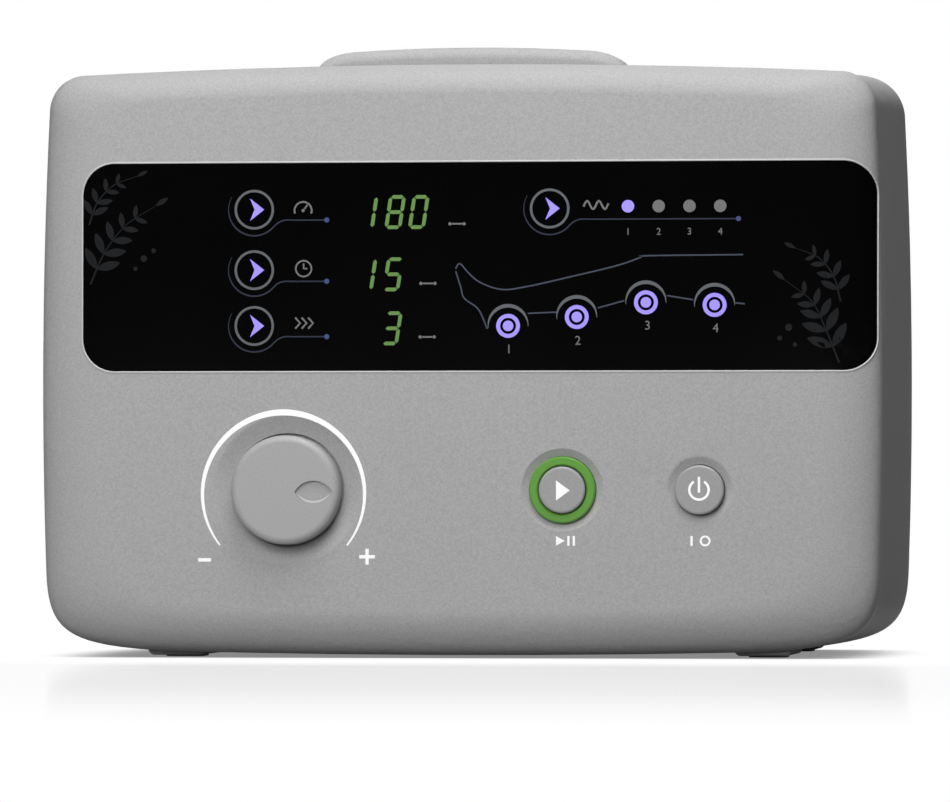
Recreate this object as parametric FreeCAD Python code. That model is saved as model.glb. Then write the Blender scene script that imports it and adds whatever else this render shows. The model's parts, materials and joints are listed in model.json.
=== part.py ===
import FreeCAD, Part
import math
import os

from FreeCAD import Rotation, Vector

# Compression therapy pump: a table-top air pump that fills a four-chamber leg sleeve.
# Units are millimetres and +Z is up. While a piece is built, y is the depth behind the
# flat front face. save() then moves it into the row's frame, whose origin is on the
# table under the middle of the whole object, with the front facing -Y.

# ------------------------------------------------------------------ driving dimensions
HALF_WIDTH = 156.2            # front casing, at the middle of its bulged sides
CREST_Z = 219.3               # top of the casings on the centre line
CROWN_DROP = 4.1              # the top line falls this much at the sides
BELLY_Z = 1.0                 # underside on the centre line
SIDE_LEAN_TOP = 2.5           # the sides pull in this much at the top corners
SIDE_LEAN_LOW = 1.2           # and this much at the bottom corners
TOP_CORNER = 13.0             # reach of the tight top corners
LOW_CORNER_X = 55.0           # reach of the soft bottom corners, along the bottom
LOW_CORNER_Z = 31.0           # and up the side
WALL = 2.6

SEAM_Y = 28.0                 # where the front casing ends
SEAM_GAP = 0.5
WIDEST_Y = 115.0              # the rear casing swells out to here
SLEEVE_END_Y = 188.0
BACK_Y = 195.0                # flat back of the rear cover
EDGE_SIDE = (24.0, 12.0)      # the front edge's reach and depth at the sides
EDGE_TOP = (11.3, 14.0)       # at the top
EDGE_LOW = (17.0, 14.0)       # and at the bottom
BACK_EDGE_R = 5.0
PORT_PROUD = 6.0              # the outlet block stands this far out of the back
KNOB_PROUD = 7.0
FRONT_Y = (KNOB_PROUD - BACK_Y - PORT_PROUD) / 2      # row frame's y of the front face

# depth, half width, crest, belly of the rear casing's sections
REAR_SECTIONS = [
    (SEAM_Y + SEAM_GAP, HALF_WIDTH, CREST_Z, BELLY_Z),
    (70.0, 158.8, 220.6, BELLY_Z),
    (WIDEST_Y, 159.4, 220.9, BELLY_Z),
    (155.0, 156.3, 218.0, 1.5),
    (SLEEVE_END_Y, 150.5, 212.0, 4.0),
]

WINDOW = (-139.4, 154.5, 105.7, 182.7)                # x0, x1, z0, z1 of the display window
WINDOW_R = 12.0
LENS_T = 2.2
TAPE_T = 0.3
LEDGE = 5.0
LEDGE_BACK_Y = 5.2
DISPLAY_BOARD_Y = 12.0
BOARD_T = 1.6

KEY_SPOTS = [(-75.2, 165.4), (-75.2, 143.1), (-75.2, 122.5), (34.5, 165.4)]
LAMP_SPOTS = [(63.4 + 11.33 * i, 166.1) for i in range(4)]
CHANNEL_SPOTS = [(19.1, 122.3), (44.5, 125.5), (70.0, 130.8), (95.3, 129.8)]
DIGITS_X, DIGITS_Z = -36.6, (164.2, 141.4, 121.5)       # left end and the three middles

CONTROL_Z = 62.0
KNOB_X = -63.0
KNOB_R = 20.1
KNOB_DISH = (27.6, 21.0, 2.8)                         # radius at the face, of the hole, depth
KNOB_FLOOR_Y = 4.5
START_X = 39.1
START_RING_R = 12.3
START_CAP_R = 8.6
START_DISH = (14.6, 12.45, 1.5)
POWER_X = 89.7
POWER_CAP_R = 9.1
POWER_DISH = (12.2, 9.4, 1.7)
BUTTON_PROUD = 1.8
BUTTON_TRAVEL = 1.2
CONTROL_BOARD_Y = 15.0
STEM_END_Y = 9.5

SHAFT_R = 3.0
SHAFT_FRONT_Y = -3.9
HANDLE_HALF = 59.4
HANDLE_TOP_Z = 227.3
HANDLE_Y = (42.5, 67.5)
HANDLE_SCREWS = [(x, y) for x in (-54.6, 54.6) for y in (48.0, 62.0)]
GRIP_UNDER_Z = 213.5
WELL_BOX = (-61.7, 61.7, 30.8, 82.0)                  # x0, x1, y0, y1 of the handle well
WELL_FLOOR_Z = 184.0
WELL_T = 2.0

RUNNER_Z = 0.8
RUNNER_X = [(-117.1, -96.5), (101.3, 121.9)]
FRONT_RUNNER_Y = (15.0, SEAM_Y)
REAR_RUNNER_Y = (SEAM_Y + SEAM_GAP, 70.0)
HEEL_Y = (148.0, 174.0)
PAD_Y = (34.0, 152.0)

CASE_SCREWS = [(-138.0, 30.0), (138.0, 30.0), (-138.0, 200.0), (138.0, 200.0)]
COVER_SCREWS = [(-138.0, 34.0), (138.0, 34.0), (-138.0, 187.0), (138.0, 187.0)]
DISPLAY_SCREWS = [(x, z) for x in (-128.0, 5.5, 139.0) for z in (107.0, 181.0)]
CONTROL_SCREWS = [(x, z) for x in (-88.0, 104.0) for z in (42.0, 82.0)]

SHELF_Z = 100.0
SHELF_T = 2.0
OUTLET_X = [-70.0, -53.0, -36.0, -19.0]
OUTLET_Z = 114.0
OUTLET_BORE_R = 3.25
OUTLET_DEPTH = 14.0
MANIFOLD = (-92.0, 12.0, 118.0, 158.0)                # x0, x1, y0, y1
MANIFOLD_H = 24.0

PUMP_Y = 130.0
PUMP_Z = 50.0
PUMP_FLOOR_Z = 12.0
ARMATURE_TRAVEL = 1.5
PUMP_MOUNTS = [(x, y) for x in (-76.0, 76.0) for y in (104.0, 156.0)]
HEAD_PORT_X = 68.0
PIPE_R = 4.0
PIPE_BORE_R = 2.6
NIPPLE_R = 2.5

MAIN_BOARD = (22.0, 138.0, 62.0, 160.0, 107.0)        # x0, x1, y0, y1, z
FAN = (98.0, 62.0, 60.0, 15.0)                        # x, z, side, thickness
FAN_BACK_Y = BACK_Y - WALL
INLET = (-112.0, 58.0)
FILTER = (0.0, 48.0)
TRANSFORMER_X = -109.0


# ------------------------------------------------------------------ shape helpers
def box(x0, x1, y0, y1, z0, z1):
    """Block between two corners."""
    return Part.makeBox(x1 - x0, y1 - y0, z1 - z0, Vector(x0, y0, z0))


def rod_y(x, z, r, y0, y1):
    """Cylinder that runs back from depth y0 to y1."""
    return Part.makeCylinder(r, y1 - y0, Vector(x, y0, z), Vector(0, 1, 0))


def rod_z(x, y, r, z0, z1):
    """Upright cylinder."""
    return Part.makeCylinder(r, z1 - z0, Vector(x, y, z0), Vector(0, 0, 1))


def rod_x(y, z, r, x0, x1):
    """Cylinder that runs across."""
    return Part.makeCylinder(r, x1 - x0, Vector(x0, y, z), Vector(1, 0, 0))


def slab(x0, x1, z0, z1, r, y0, y1):
    """Rounded rectangle in the front plane, carried back from y0 to y1."""
    block = box(x0, x1, y0, y1, z0, z1)
    upright = [e for e in block.Edges if abs(e.tangentAt(e.FirstParameter).y) > 0.9]
    return block.makeFillet(r, upright)


def tray(x0, x1, y0, y1, r, z0, z1):
    """Rounded rectangle in plan, carried up from z0 to z1."""
    block = box(x0, x1, y0, y1, z0, z1)
    upright = [e for e in block.Edges if abs(e.tangentAt(e.FirstParameter).z) > 0.9]
    return block.makeFillet(r, upright)


def turned_y(x, z, profile):
    """Solid turned about a front-to-back axis; profile is a closed list of (radius, depth)."""
    points = [Vector(x + r, y, z) for r, y in profile]
    face = Part.Face(Part.makePolygon(points + points[:1]))
    return face.revolve(Vector(x, 0, z), Vector(0, 1, 0), 360)


def dish(x, z, well, floor_y, back):
    """Cutter for a soft-edged dish, the straight hole in it and a narrower hole behind its floor."""
    mouth_r, hole_r, depth = well
    lip, edge = Vector(x + mouth_r + 1, -0.1, z), Vector(x + hole_r, depth, z)
    pull = 0.3 * (mouth_r - hole_r)
    slope = Part.BezierCurve()
    slope.setPoles([lip, lip + Vector(-pull, 0.1 * pull, 0), edge + Vector(pull, -0.2 * pull, 0), edge])
    floor, axis, top = Vector(x + hole_r, floor_y, z), Vector(x, floor_y, z), Vector(x, -1, z)
    rest = [edge, floor, axis, top, Vector(lip.x, -1, z), lip]
    sides = [Part.makeLine(a, b) for a, b in zip(rest, rest[1:])]
    face = Part.Face(Part.Wire([slope.toShape()] + sides))
    bowl = face.revolve(Vector(x, 0, z), Vector(0, 1, 0), 360)
    return bowl.fuse(rod_y(x, z, back, 0, floor_y + 20))


def join(shapes):
    """One solid from pieces that meet."""
    first, *rest = shapes
    return first.fuse(rest).removeSplitter() if rest else first


def group(shapes):
    """Separate solids that share a node."""
    return Part.makeCompound(shapes)


def screw(x, y, z, direction, length, r, head_r, head_h):
    """Pan-head screw: its head's underside at (x, y, z), its shank along direction."""
    shank = Part.makeCylinder(r, length, Vector(0, 0, 0), Vector(0, 0, 1))
    head = Part.makeCylinder(head_r, head_h, Vector(0, 0, -head_h), Vector(0, 0, 1))
    rim = [e for e in head.Edges if e.Closed and abs(e.CenterOfMass.z + head_h) < 0.01]
    head = head.makeFillet(head_h * 0.45, rim)
    slot = head_r * 0.62
    cross = [Part.makeBox(2 * slot, 0.7, head_h * 0.7, Vector(-slot, -0.35, -head_h)),
             Part.makeBox(0.7, 2 * slot, head_h * 0.7, Vector(-0.35, -slot, -head_h))]
    body = shank.fuse(head).cut(group(cross))
    body.Placement = FreeCAD.Placement(Vector(x, y, z), Rotation(Vector(0, 0, 1), direction))
    return body


def pipe(points, bend, r_out, r_in):
    """Hollow tube along straight runs joined by tangent arcs of one radius."""
    edges = []
    start = points[0]
    for corner, after in zip(points[1:-1], points[2:]):
        back = (start - corner).normalize()
        ahead = (after - corner).normalize()
        half = back.getAngle(ahead) / 2
        reach = bend / math.tan(half)
        begin, end = corner + back * reach, corner + ahead * reach
        middle = (back + ahead).normalize()
        crown = corner + middle * (bend / math.sin(half) - bend)
        edges += [Part.makeLine(start, begin), Part.Arc(begin, crown, end).toShape()]
        start = end
    edges.append(Part.makeLine(start, points[-1]))
    path = Part.Wire(edges)
    heading = points[1] - points[0]
    skins = [Part.Wire(Part.makeCircle(r, points[0], heading)) for r in (r_out, r_in)]
    outer, inner = (path.makePipeShell([skin], True, False) for skin in skins)
    return outer.cut(inner)


def save(node, shape):
    """Move a piece into the row's frame and write its STEP file."""
    placed = shape.copy()
    placed.translate(Vector(0, FRONT_Y, 0))
    solids = placed.Solids
    assert solids and all(s.isValid() for s in solids), node
    whole = solids[0] if len(solids) == 1 else Part.makeCompound(solids)
    whole.exportStep("parts/" + node + ".step")
    print(node, len(solids), "solids", round(sum(s.Volume for s in solids) / 1000, 2), "cm3")


# ------------------------------------------------------------------ the casings' outline
def corner(start, start_dir, end, end_dir, pull_start, pull_end):
    """Bezier corner that leaves one line and meets the next along their tangents."""
    curve = Part.BezierCurve()
    curve.setPoles([start, start + start_dir * pull_start, end - end_dir * pull_end, end])
    return curve.toShape()


def outline(y, half, crest, belly, inset=0.0):
    """Closed outline of a casing at depth y: crowned top, bulged sides, soft bottom corners."""
    half, crest, belly = half - inset, crest - inset, belly + inset
    top_x = half - SIDE_LEAN_TOP - TOP_CORNER
    top_z = crest - CROWN_DROP * (top_x / half) ** 2
    low_x = half - LOW_CORNER_X
    low_z = belly + 1.1 * (low_x / 100.0) ** 2
    shoulder = Vector(half - SIDE_LEAN_TOP, y, top_z - TOP_CORNER)
    hip = Vector(half - SIDE_LEAN_LOW, y, belly + LOW_CORNER_Z)
    top = Part.Arc(Vector(-top_x, y, top_z), Vector(0, y, crest), Vector(top_x, y, top_z))
    side = Part.Arc(shoulder, Vector(half, y, (crest + belly) * 0.47), hip)
    bottom = Part.Arc(Vector(low_x, y, low_z), Vector(0, y, belly), Vector(-low_x, y, low_z))
    upper = corner(Vector(top_x, y, top_z), top.tangent(top.LastParameter)[0],
                   shoulder, side.tangent(side.FirstParameter)[0], 0.56 * TOP_CORNER, 0.56 * TOP_CORNER)
    lower = corner(hip, side.tangent(side.LastParameter)[0],
                   Vector(low_x, y, low_z), bottom.tangent(bottom.FirstParameter)[0],
                   0.74 * LOW_CORNER_Z, 0.86 * LOW_CORNER_X)
    right = [upper, side.toShape(), lower]
    left = [edge.mirror(Vector(0, 0, 0), Vector(1, 0, 0)) for edge in right]
    return Part.Wire(Part.__sortEdges__([top.toShape()] + right + [bottom.toShape()] + left))


def edge_size(y):
    """Half width, crest and belly at depth y, where the front edge rolls over in quarter ellipses."""
    def inside(reach, depth):
        return reach * (1 - math.sqrt(1 - (max(0.0, depth - y) / depth) ** 2))
    return HALF_WIDTH - inside(*EDGE_SIDE), CREST_Z - inside(*EDGE_TOP), BELLY_Z + inside(*EDGE_LOW)


def front_block(inset=0.0, depth=SEAM_Y):
    """Solid of the front casing's outer form, or of its hollow when it is inset."""
    depths = [0, 0.25, 0.9, 2.0, 3.6, 5.6, 8.0, 11.0, 14.0]
    wires = [outline(y + inset, *edge_size(y), inset) for y in depths]
    rim = Part.makeLoft(wires, True, False)
    return rim.fuse(Part.Face(wires[-1]).extrude(Vector(0, depth - 14.0 - inset, 0)))


def rear_block(inset=0.0):
    """Solid of the rear casing's outer form, or of its hollow when it is inset."""
    return Part.makeLoft([outline(*section, inset) for section in REAR_SECTIONS], True, False)


def seam_band(outer_inset, inner_inset, y0, y1):
    """Ring that follows the casing's outline between two insets."""
    faces = [Part.Face(outline(y0, HALF_WIDTH, CREST_Z, BELLY_Z, i)) for i in (outer_inset, inner_inset)]
    outer, inner = (face.extrude(Vector(0, y1 - y0, 0)) for face in faces)
    return outer.cut(inner)


def feet(span_y, top_z):
    """Moulded feet under a casing, one on each side, with rounded lower edges."""
    blocks = []
    for x0, x1 in RUNNER_X:
        block = box(x0, x1, *span_y, RUNNER_Z, top_z)
        low = [e for e in block.Edges
               if e.BoundBox.ZMax < RUNNER_Z + 0.01 and e.BoundBox.YMin < span_y[1] - 0.01]
        blocks.append(block.makeFillet(2.2, low))
    return blocks


def post(x, z, r, hole_r, y0, y1):
    """Screw post that runs back from a wall."""
    return rod_y(x, z, r, y0, y1).cut(rod_y(x, z, hole_r, y0 + 2, y1))


# ------------------------------------------------------------------ front casing and its panel
def window_prism(grow, y1):
    x0, x1, z0, z1 = WINDOW
    return slab(x0 - grow, x1 + grow, z0 - grow, z1 + grow, WINDOW_R + grow, -2, y1)


def window_opening():
    """Cutter for the hole inside the ledge that the lens is taped to."""
    x0, x1, z0, z1 = WINDOW
    return slab(x0 + LEDGE, x1 - LEDGE - 5, z0 + LEDGE, z1 - LEDGE, WINDOW_R - 4, -1, 20)


def skin(thickness, start, grow):
    """Layer of the window that follows the casing's front from one depth to another."""
    outer = front_block()
    near, far = outer.copy(), outer.copy()
    near.translate(Vector(0, start, 0))
    far.translate(Vector(0, start + thickness, 0))
    return near.common(window_prism(grow, 20)).cut(far)


def front_casing():
    outer, hollow = front_block(), front_block(WALL, SEAM_Y + 1)
    x0, x1, z0, z1 = WINDOW
    extra = [slab(x0 - 4, x1 + 4, z0 - 6, z1 + 6, WINDOW_R, 0.5, LEDGE_BACK_Y),
             slab(x1 - 16, x1 + 4, z0 - 6, z1 + 6, 6, 0.5, DISPLAY_BOARD_Y - 1),
             rod_y(KNOB_X, CONTROL_Z, KNOB_DISH[0] + 2.5, 0.5, KNOB_FLOOR_Y + WALL),
             rod_y(START_X, CONTROL_Z, START_DISH[0] + 2.5, 0.5, 4.5),
             rod_y(POWER_X, CONTROL_Z, POWER_DISH[0] + 2.5, 0.5, 4.5)]
    extra += [post(x, z, 3.4, 1.2, 1.0, DISPLAY_BOARD_Y) for x, z in DISPLAY_SCREWS]
    extra += [post(x, z, 3.4, 1.2, 1.0, CONTROL_BOARD_Y) for x, z in CONTROL_SCREWS]
    extra += [post(x, z, 5.0, 1.4, 1.0, SEAM_Y) for x, z in CASE_SCREWS]
    inside = outer.common(group(extra))
    shell = outer.cut(hollow).fuse(inside.Solids)
    shell = shell.fuse([foot.cut(hollow) for foot in feet(FRONT_RUNNER_Y, 8.0)])
    cutters = [skin(LENS_T + TAPE_T, -0.5, 0).fuse(skin(LENS_T + TAPE_T, 0, 0)),
               window_opening(),
               dish(KNOB_X, CONTROL_Z, KNOB_DISH, KNOB_FLOOR_Y, 3.6),
               dish(START_X, CONTROL_Z, START_DISH, 2.0, START_DISH[1]),
               dish(POWER_X, CONTROL_Z, POWER_DISH, 2.0, POWER_DISH[1])]
    cutters += [rod_y(x, z, 1.2, 3, DISPLAY_BOARD_Y + 1) for x, z in DISPLAY_SCREWS]
    cutters += [rod_y(x, z, 1.2, 4, CONTROL_BOARD_Y + 1) for x, z in CONTROL_SCREWS]
    cutters += [rod_y(x, z, 1.4, 24, SEAM_Y + 1) for x, z in CASE_SCREWS]
    return shell.cut(cutters).removeSplitter()


def display_lens():
    return skin(LENS_T, 0, -0.15)


def lens_tape():
    return skin(TAPE_T, LENS_T, -0.3).cut(window_opening())


def circuit_board(x0, x1, z0, z1, y, holes):
    board = slab(x0, x1, z0, z1, 2, y, y + BOARD_T)
    return board.cut(group([rod_y(x, z, 1.6, y - 1, y + 3) for x, z in holes]))


def digit_block(row, count):
    """Seven-segment display: a case with a shallow recess for each digit."""
    pitch, z = 8.9, DIGITS_Z[row]
    x0 = DIGITS_X if count > 1 else DIGITS_X + 3.6
    case = slab(x0, x0 + pitch * count + 2, z - 8, z + 8, 0.8, 5.4, DISPLAY_BOARD_Y)
    cells = []
    for i in range(count):
        left = x0 + 1 + pitch * i
        cells.append(slab(left + 0.4, left + pitch - 0.4, z - 6.6, z + 6.6, 0.5, 5, 6))
    return case.cut(group(cells))


def lamps(spots, r):
    """Round indicator lamps that stand on the display board behind the lens."""
    profile = [(0, 5.6), (r * 0.8, 5.6), (r, 6.4), (r, DISPLAY_BOARD_Y), (0, DISPLAY_BOARD_Y)]
    return group([turned_y(x, z, profile) for x, z in spots])


def lamp_rings(spots):
    """Ring-shaped light guides, one for each sleeve chamber."""
    profile = [(3.0, 4.2), (4.4, 4.2), (4.4, DISPLAY_BOARD_Y), (3.0, DISPLAY_BOARD_Y)]
    return group([turned_y(x, z, profile) for x, z in spots])


def touch_pads():
    """Conductive foam pads that join the touch electrodes to the back of the lens."""
    keys = [rod_y(x, z, 5, LENS_T, DISPLAY_BOARD_Y) for x, z in KEY_SPOTS]
    small = [rod_y(x, z, 2.6, LENS_T, DISPLAY_BOARD_Y) for x, z in CHANNEL_SPOTS]
    return group(keys + small)


# ------------------------------------------------------------------ knob and buttons
def knob():
    """Hollow knob with a rounded rim, a leaf-shaped finger dimple and a hub for the shaft."""
    top, skirt = -KNOB_PROUD, KNOB_FLOOR_Y - 0.9
    body = rod_y(KNOB_X, CONTROL_Z, KNOB_R, top, skirt)
    rim = [e for e in body.Edges if e.Closed and abs(e.CenterOfMass.y - top) < 0.01]
    body = body.makeFillet(2.6, rim)
    wall = [(6.5, top + 3), (KNOB_R - 2.6, top + 3), (KNOB_R - 2, skirt + 1), (6.5, skirt + 1)]
    hollow = turned_y(KNOB_X, CONTROL_Z, wall)
    hub_end = rod_y(KNOB_X, CONTROL_Z, 7, 1.8, skirt + 1)
    bore = rod_y(KNOB_X, CONTROL_Z, SHAFT_R + 0.02, SHAFT_FRONT_Y - 0.3, skirt + 1)
    leaf_x, leaf_z, leaf_r = KNOB_X + 10.8, CONTROL_Z - 0.7, 8.0
    leaf = [rod_y(leaf_x, leaf_z + side * (leaf_r - 4.1), leaf_r, top - 1, top + 1.2) for side in (-1, 1)]
    return body.cut([hollow, hub_end, bore, leaf[0].common(leaf[1])])


def encoder_shaft():
    return rod_y(KNOB_X, CONTROL_Z, SHAFT_R, SHAFT_FRONT_Y, 12)


def encoder_body():
    """Rotary encoder: square case, threaded bush through the well's floor, solder legs."""
    floor = KNOB_FLOOR_Y + WALL
    case = slab(KNOB_X - 6.5, KNOB_X + 6.5, CONTROL_Z - 6.5, CONTROL_Z + 6.5, 1, floor, CONTROL_BOARD_Y)
    bush = rod_y(KNOB_X, CONTROL_Z, 3.5, 1.9, floor + 1)
    return join([case, bush]).cut(rod_y(KNOB_X, CONTROL_Z, SHAFT_R + 0.05, 1, 12.3))


def encoder_nut():
    across = 5.5 / math.cos(math.radians(30))
    points = [Vector(KNOB_X + across * math.cos(math.radians(60 * i)), 2.3,
                     CONTROL_Z + across * math.sin(math.radians(60 * i))) for i in range(7)]
    nut = Part.Face(Part.makePolygon(points)).extrude(Vector(0, KNOB_FLOOR_Y - 2.3, 0))
    return nut.cut(rod_y(KNOB_X, CONTROL_Z, 3.52, 0, 6))


def button(x, cap_r, flange_r, flange_y):
    """Push button: domed cap, retaining flange behind the wall, stem that meets its switch."""
    cap = rod_y(x, CONTROL_Z, cap_r, -BUTTON_PROUD, flange_y)
    rim = [e for e in cap.Edges if e.Closed and abs(e.CenterOfMass.y + BUTTON_PROUD) < 0.01]
    cap = cap.makeFillet(1.0, rim)
    flange = rod_y(x, CONTROL_Z, flange_r, flange_y, flange_y + 1.2)
    stem = rod_y(x, CONTROL_Z, 3, flange_y + 1.2, STEM_END_Y)
    return join([cap, flange, stem])


def start_light_ring():
    inner, outer, flange = START_CAP_R + 0.3, START_RING_R, 14.6
    return turned_y(START_X, CONTROL_Z, [(inner, 0.1), (inner + 0.6, -0.6), (outer - 0.6, -0.6), (outer, 0.1),
                                         (outer, 4.5), (flange, 4.5), (flange, 5.8), (inner, 5.8)])


def switch_body(x):
    case = slab(x - 3.1, x + 3.1, CONTROL_Z - 3.1, CONTROL_Z + 3.1, 0.5, 11, CONTROL_BOARD_Y)
    return case.cut(rod_y(x, CONTROL_Z, 1.85, 10, 11.8 + BUTTON_TRAVEL))


def switch_plunger(x):
    return rod_y(x, CONTROL_Z, 1.75, STEM_END_Y, 11.5)


# ------------------------------------------------------------------ rear casing, handle and cover
def rear_casing():
    """Sleeve open at both ends, with the seam's tongue, screw lugs, feet and pump pads."""
    outer, hollow = rear_block(), rear_block(WALL)
    shell = outer.cut(hollow)
    start = SEAM_Y + SEAM_GAP
    parts = [seam_band(1.2, 4.2, start, start + 5), seam_band(WALL + 0.2, 4.2, SEAM_Y - 5, start + 1)]
    for x, z in CASE_SCREWS:
        reach = sorted((x, math.copysign(155, x)))
        lug = join([rod_y(x, z, 6.0, start, start + 4), box(*reach, start, start + 4, z - 4, z + 4)])
        parts.append(lug)
    for x, z in COVER_SCREWS:
        reach = sorted((x, math.copysign(158, x)))
        web = box(*reach, SLEEVE_END_Y - 20, SLEEVE_END_Y - 6.5, z - 1.5, z + 1.5)
        parts.append(join([rod_y(x, z, 4.6, SLEEVE_END_Y - 20, SLEEVE_END_Y), web]))
    parts += [box(*sorted((side * 140, side * 158)), 62, 158, SHELF_Z - 4, SHELF_Z) for side in (-1, 1)]
    parts += [rod_z(x, y, 7.5, 2.0, 6.0) for x, y in PUMP_MOUNTS]
    parts.append(box(TRANSFORMER_X - 23, TRANSFORMER_X + 23, 72, 98, 2.0, 6.97))
    inside = front_block(0.6, SEAM_Y + 1).fuse(outer).common(group(parts))
    lug_room = [rod_y(x, z, 5.3, SEAM_Y - 6, SEAM_Y + SEAM_GAP) for x, z in CASE_SCREWS]
    body = shell.fuse(inside.Solids)
    body = body.fuse([foot.cut(hollow) for span in (REAR_RUNNER_Y, HEEL_Y) for foot in feet(span, 9.0)])
    x0, x1, y0, y1 = WELL_BOX
    well_cut = tray(x0 - 0.3, x1 + 0.3, y0 - 0.3, y1 + 0.3, 8.3, WELL_FLOOR_Z, 240)
    holes = [rod_y(x, z, 1.7, SEAM_Y, SEAM_Y + 8) for x, z in CASE_SCREWS]
    holes += [rod_y(x, z, 1.4, SLEEVE_END_Y - 14, SLEEVE_END_Y + 1) for x, z in COVER_SCREWS]
    return body.cut([well_cut] + lug_room + holes).removeSplitter()


def handle_well():
    """Pocket under the handle; its rim is flush with the casing's crowned top."""
    x0, x1, y0, y1 = WELL_BOX
    outer = tray(x0, x1, y0, y1, 8, WELL_FLOOR_Z, 240).common(rear_block())
    inner = tray(x0 + WELL_T, x1 - WELL_T, y0 + WELL_T, y1 - WELL_T, 6, WELL_FLOOR_Z + WELL_T, 240)
    holes = [rod_z(x, y, 1.7, WELL_FLOOR_Z - 1, WELL_FLOOR_Z + 4) for x, y in HANDLE_SCREWS]
    return outer.cut([inner] + holes)


def handle():
    """Bridge handle: a low crowned grip on two legs that stand on the well's floor."""
    foot_z, y0, y1 = WELL_FLOOR_Z + WELL_T, *HANDLE_Y
    knee = Vector(HANDLE_HALF, y0, 214)
    brow = Vector(40, y0, HANDLE_TOP_Z - 1.2)
    rise = Part.BezierCurve()
    rise.setPoles([knee, Vector(HANDLE_HALF, y0, 224), Vector(50, y0, HANDLE_TOP_Z - 1.5), brow])
    fall = rise.toShape().mirror(Vector(0, 0, 0), Vector(1, 0, 0))
    crown = Part.Arc(brow, Vector(0, y0, HANDLE_TOP_Z), Vector(-40, y0, HANDLE_TOP_Z - 1.2)).toShape()
    inner_x, turn = HANDLE_HALF - 9.0, 7.0
    toe, instep = Vector(HANDLE_HALF, y0, foot_z), Vector(inner_x, y0, foot_z)
    crook = Vector(inner_x, y0, GRIP_UNDER_Z - turn)
    palm = Vector(inner_x - turn, y0, GRIP_UNDER_Z)
    soft = turn * (1 - math.sqrt(0.5))
    bend = Part.Arc(crook, Vector(inner_x - soft, y0, GRIP_UNDER_Z - soft), palm).toShape()
    leg = [Part.makeLine(*ends) for ends in ((knee, toe), (toe, instep), (instep, crook))] + [bend]
    legs = leg + [edge.mirror(Vector(0, 0, 0), Vector(1, 0, 0)) for edge in leg]
    bar = Part.makeLine(palm, Vector(-palm.x, y0, GRIP_UNDER_Z))
    wire = Part.Wire(Part.__sortEdges__([rise.toShape(), crown, fall, bar] + legs))
    body = Part.Face(wire).extrude(Vector(0, y1 - y0, 0))
    rims = [e for e in body.Edges
            if abs(e.tangentAt(e.FirstParameter).y) < 0.1 and e.BoundBox.ZMax > foot_z + 1]
    top = [e for e in rims if e.BoundBox.ZMax > knee.z - 0.1]
    low = [e for e in rims if e.BoundBox.ZMax <= knee.z - 0.1 and abs(e.CenterOfMass.x) < inner_x + 1]
    body = body.makeFillet(4.2, top + low)
    return body.cut([rod_z(x, y, 1.3, foot_z - 1, foot_z + 12) for x, y in HANDLE_SCREWS])


def handle_screws():
    return group([screw(x, y, WELL_FLOOR_Z, Vector(0, 0, 1), 11, 1.25, 3, 2) for x, y in HANDLE_SCREWS])


def cover_plug(y, inset, length):
    """Prism on the outline of the rear casing's open end."""
    return Part.Face(outline(y, *REAR_SECTIONS[-1][1:], inset)).extrude(Vector(0, length, 0))


def rear_cover():
    """Dished back panel with vent slots, a fan grille and cut-outs for the fittings."""
    depth = REAR_SECTIONS[-1][0]
    blank = cover_plug(depth + 0.3, 0, BACK_Y - depth - 0.3)
    rim = [e for e in blank.Edges if e.BoundBox.YMin > BACK_Y - 0.01]
    blank = blank.makeFillet(BACK_EDGE_R, rim)
    hollow = cover_plug(depth, WALL, BACK_Y - WALL - depth)
    tongue = cover_plug(depth - 6, 3.4, 7).cut(cover_plug(depth - 6, 4.9, 7))
    ledge = cover_plug(depth + 0.3, 1.0, 3).cut(cover_plug(depth + 0.3, 4.9, 3))
    body = blank.cut(hollow).fuse([tongue, ledge])
    bosses = [rod_y(x, z, 5.2, depth + 0.3, BACK_Y - 0.5) for x, z in COVER_SCREWS]
    body = body.fuse(bosses)
    cut = [rod_y(x, z, 5.4, depth - 7, depth + 0.3) for x, z in COVER_SCREWS]
    cut += [rod_y(x, z, 1.7, depth - 1, BACK_Y + 1) for x, z in COVER_SCREWS]
    cut += [rod_y(x, z, 3.4, BACK_Y - 2.4, BACK_Y + 1) for x, z in COVER_SCREWS]
    cut += [slab(side * 90 - 30, side * 90 + 30, z, z + 3.2, 1.55, BACK_Y - 6, BACK_Y + 1)
            for side in (-1, 1) for z in range(140, 185, 8)]
    fan_x, fan_z = FAN[:2]
    cut += fan_slots(fan_x, fan_z)
    cut += [rod_y(x, z, 1.8, BACK_Y - 5, BACK_Y + 1) for x, z in fan_corners()]
    for x0, x1, z0, z1, r in ((OUTLET_X[0] - 12, OUTLET_X[-1] + 12, OUTLET_Z - 13, OUTLET_Z + 13, 4),
                              (INLET[0] - 14, INLET[0] + 14, INLET[1] - 24, INLET[1] + 14, 2)):
        cut.append(slab(x0, x1, z0, z1, r, BACK_Y - 6, BACK_Y + 1))
    cut.append(rod_y(*FILTER, 15.2, BACK_Y - 6, BACK_Y + 1))
    return body.cut(cut).removeSplitter()


def fan_slots(x, z):
    """Curved slots of the fan's grille: three rings, each broken by four bars."""
    bars = group([box(x - 30, x + 30, BACK_Y - 7, BACK_Y + 2, z - 1.6, z + 1.6),
                  box(x - 1.6, x + 1.6, BACK_Y - 7, BACK_Y + 2, z - 30, z + 30)])
    rings = []
    for r_in, r_out in ((8, 12), (15, 19), (22, 26)):
        ring = rod_y(x, z, r_out, BACK_Y - 6, BACK_Y + 1).cut(rod_y(x, z, r_in, BACK_Y - 6, BACK_Y + 1))
        rings += ring.cut(bars).Solids
    return rings


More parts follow.
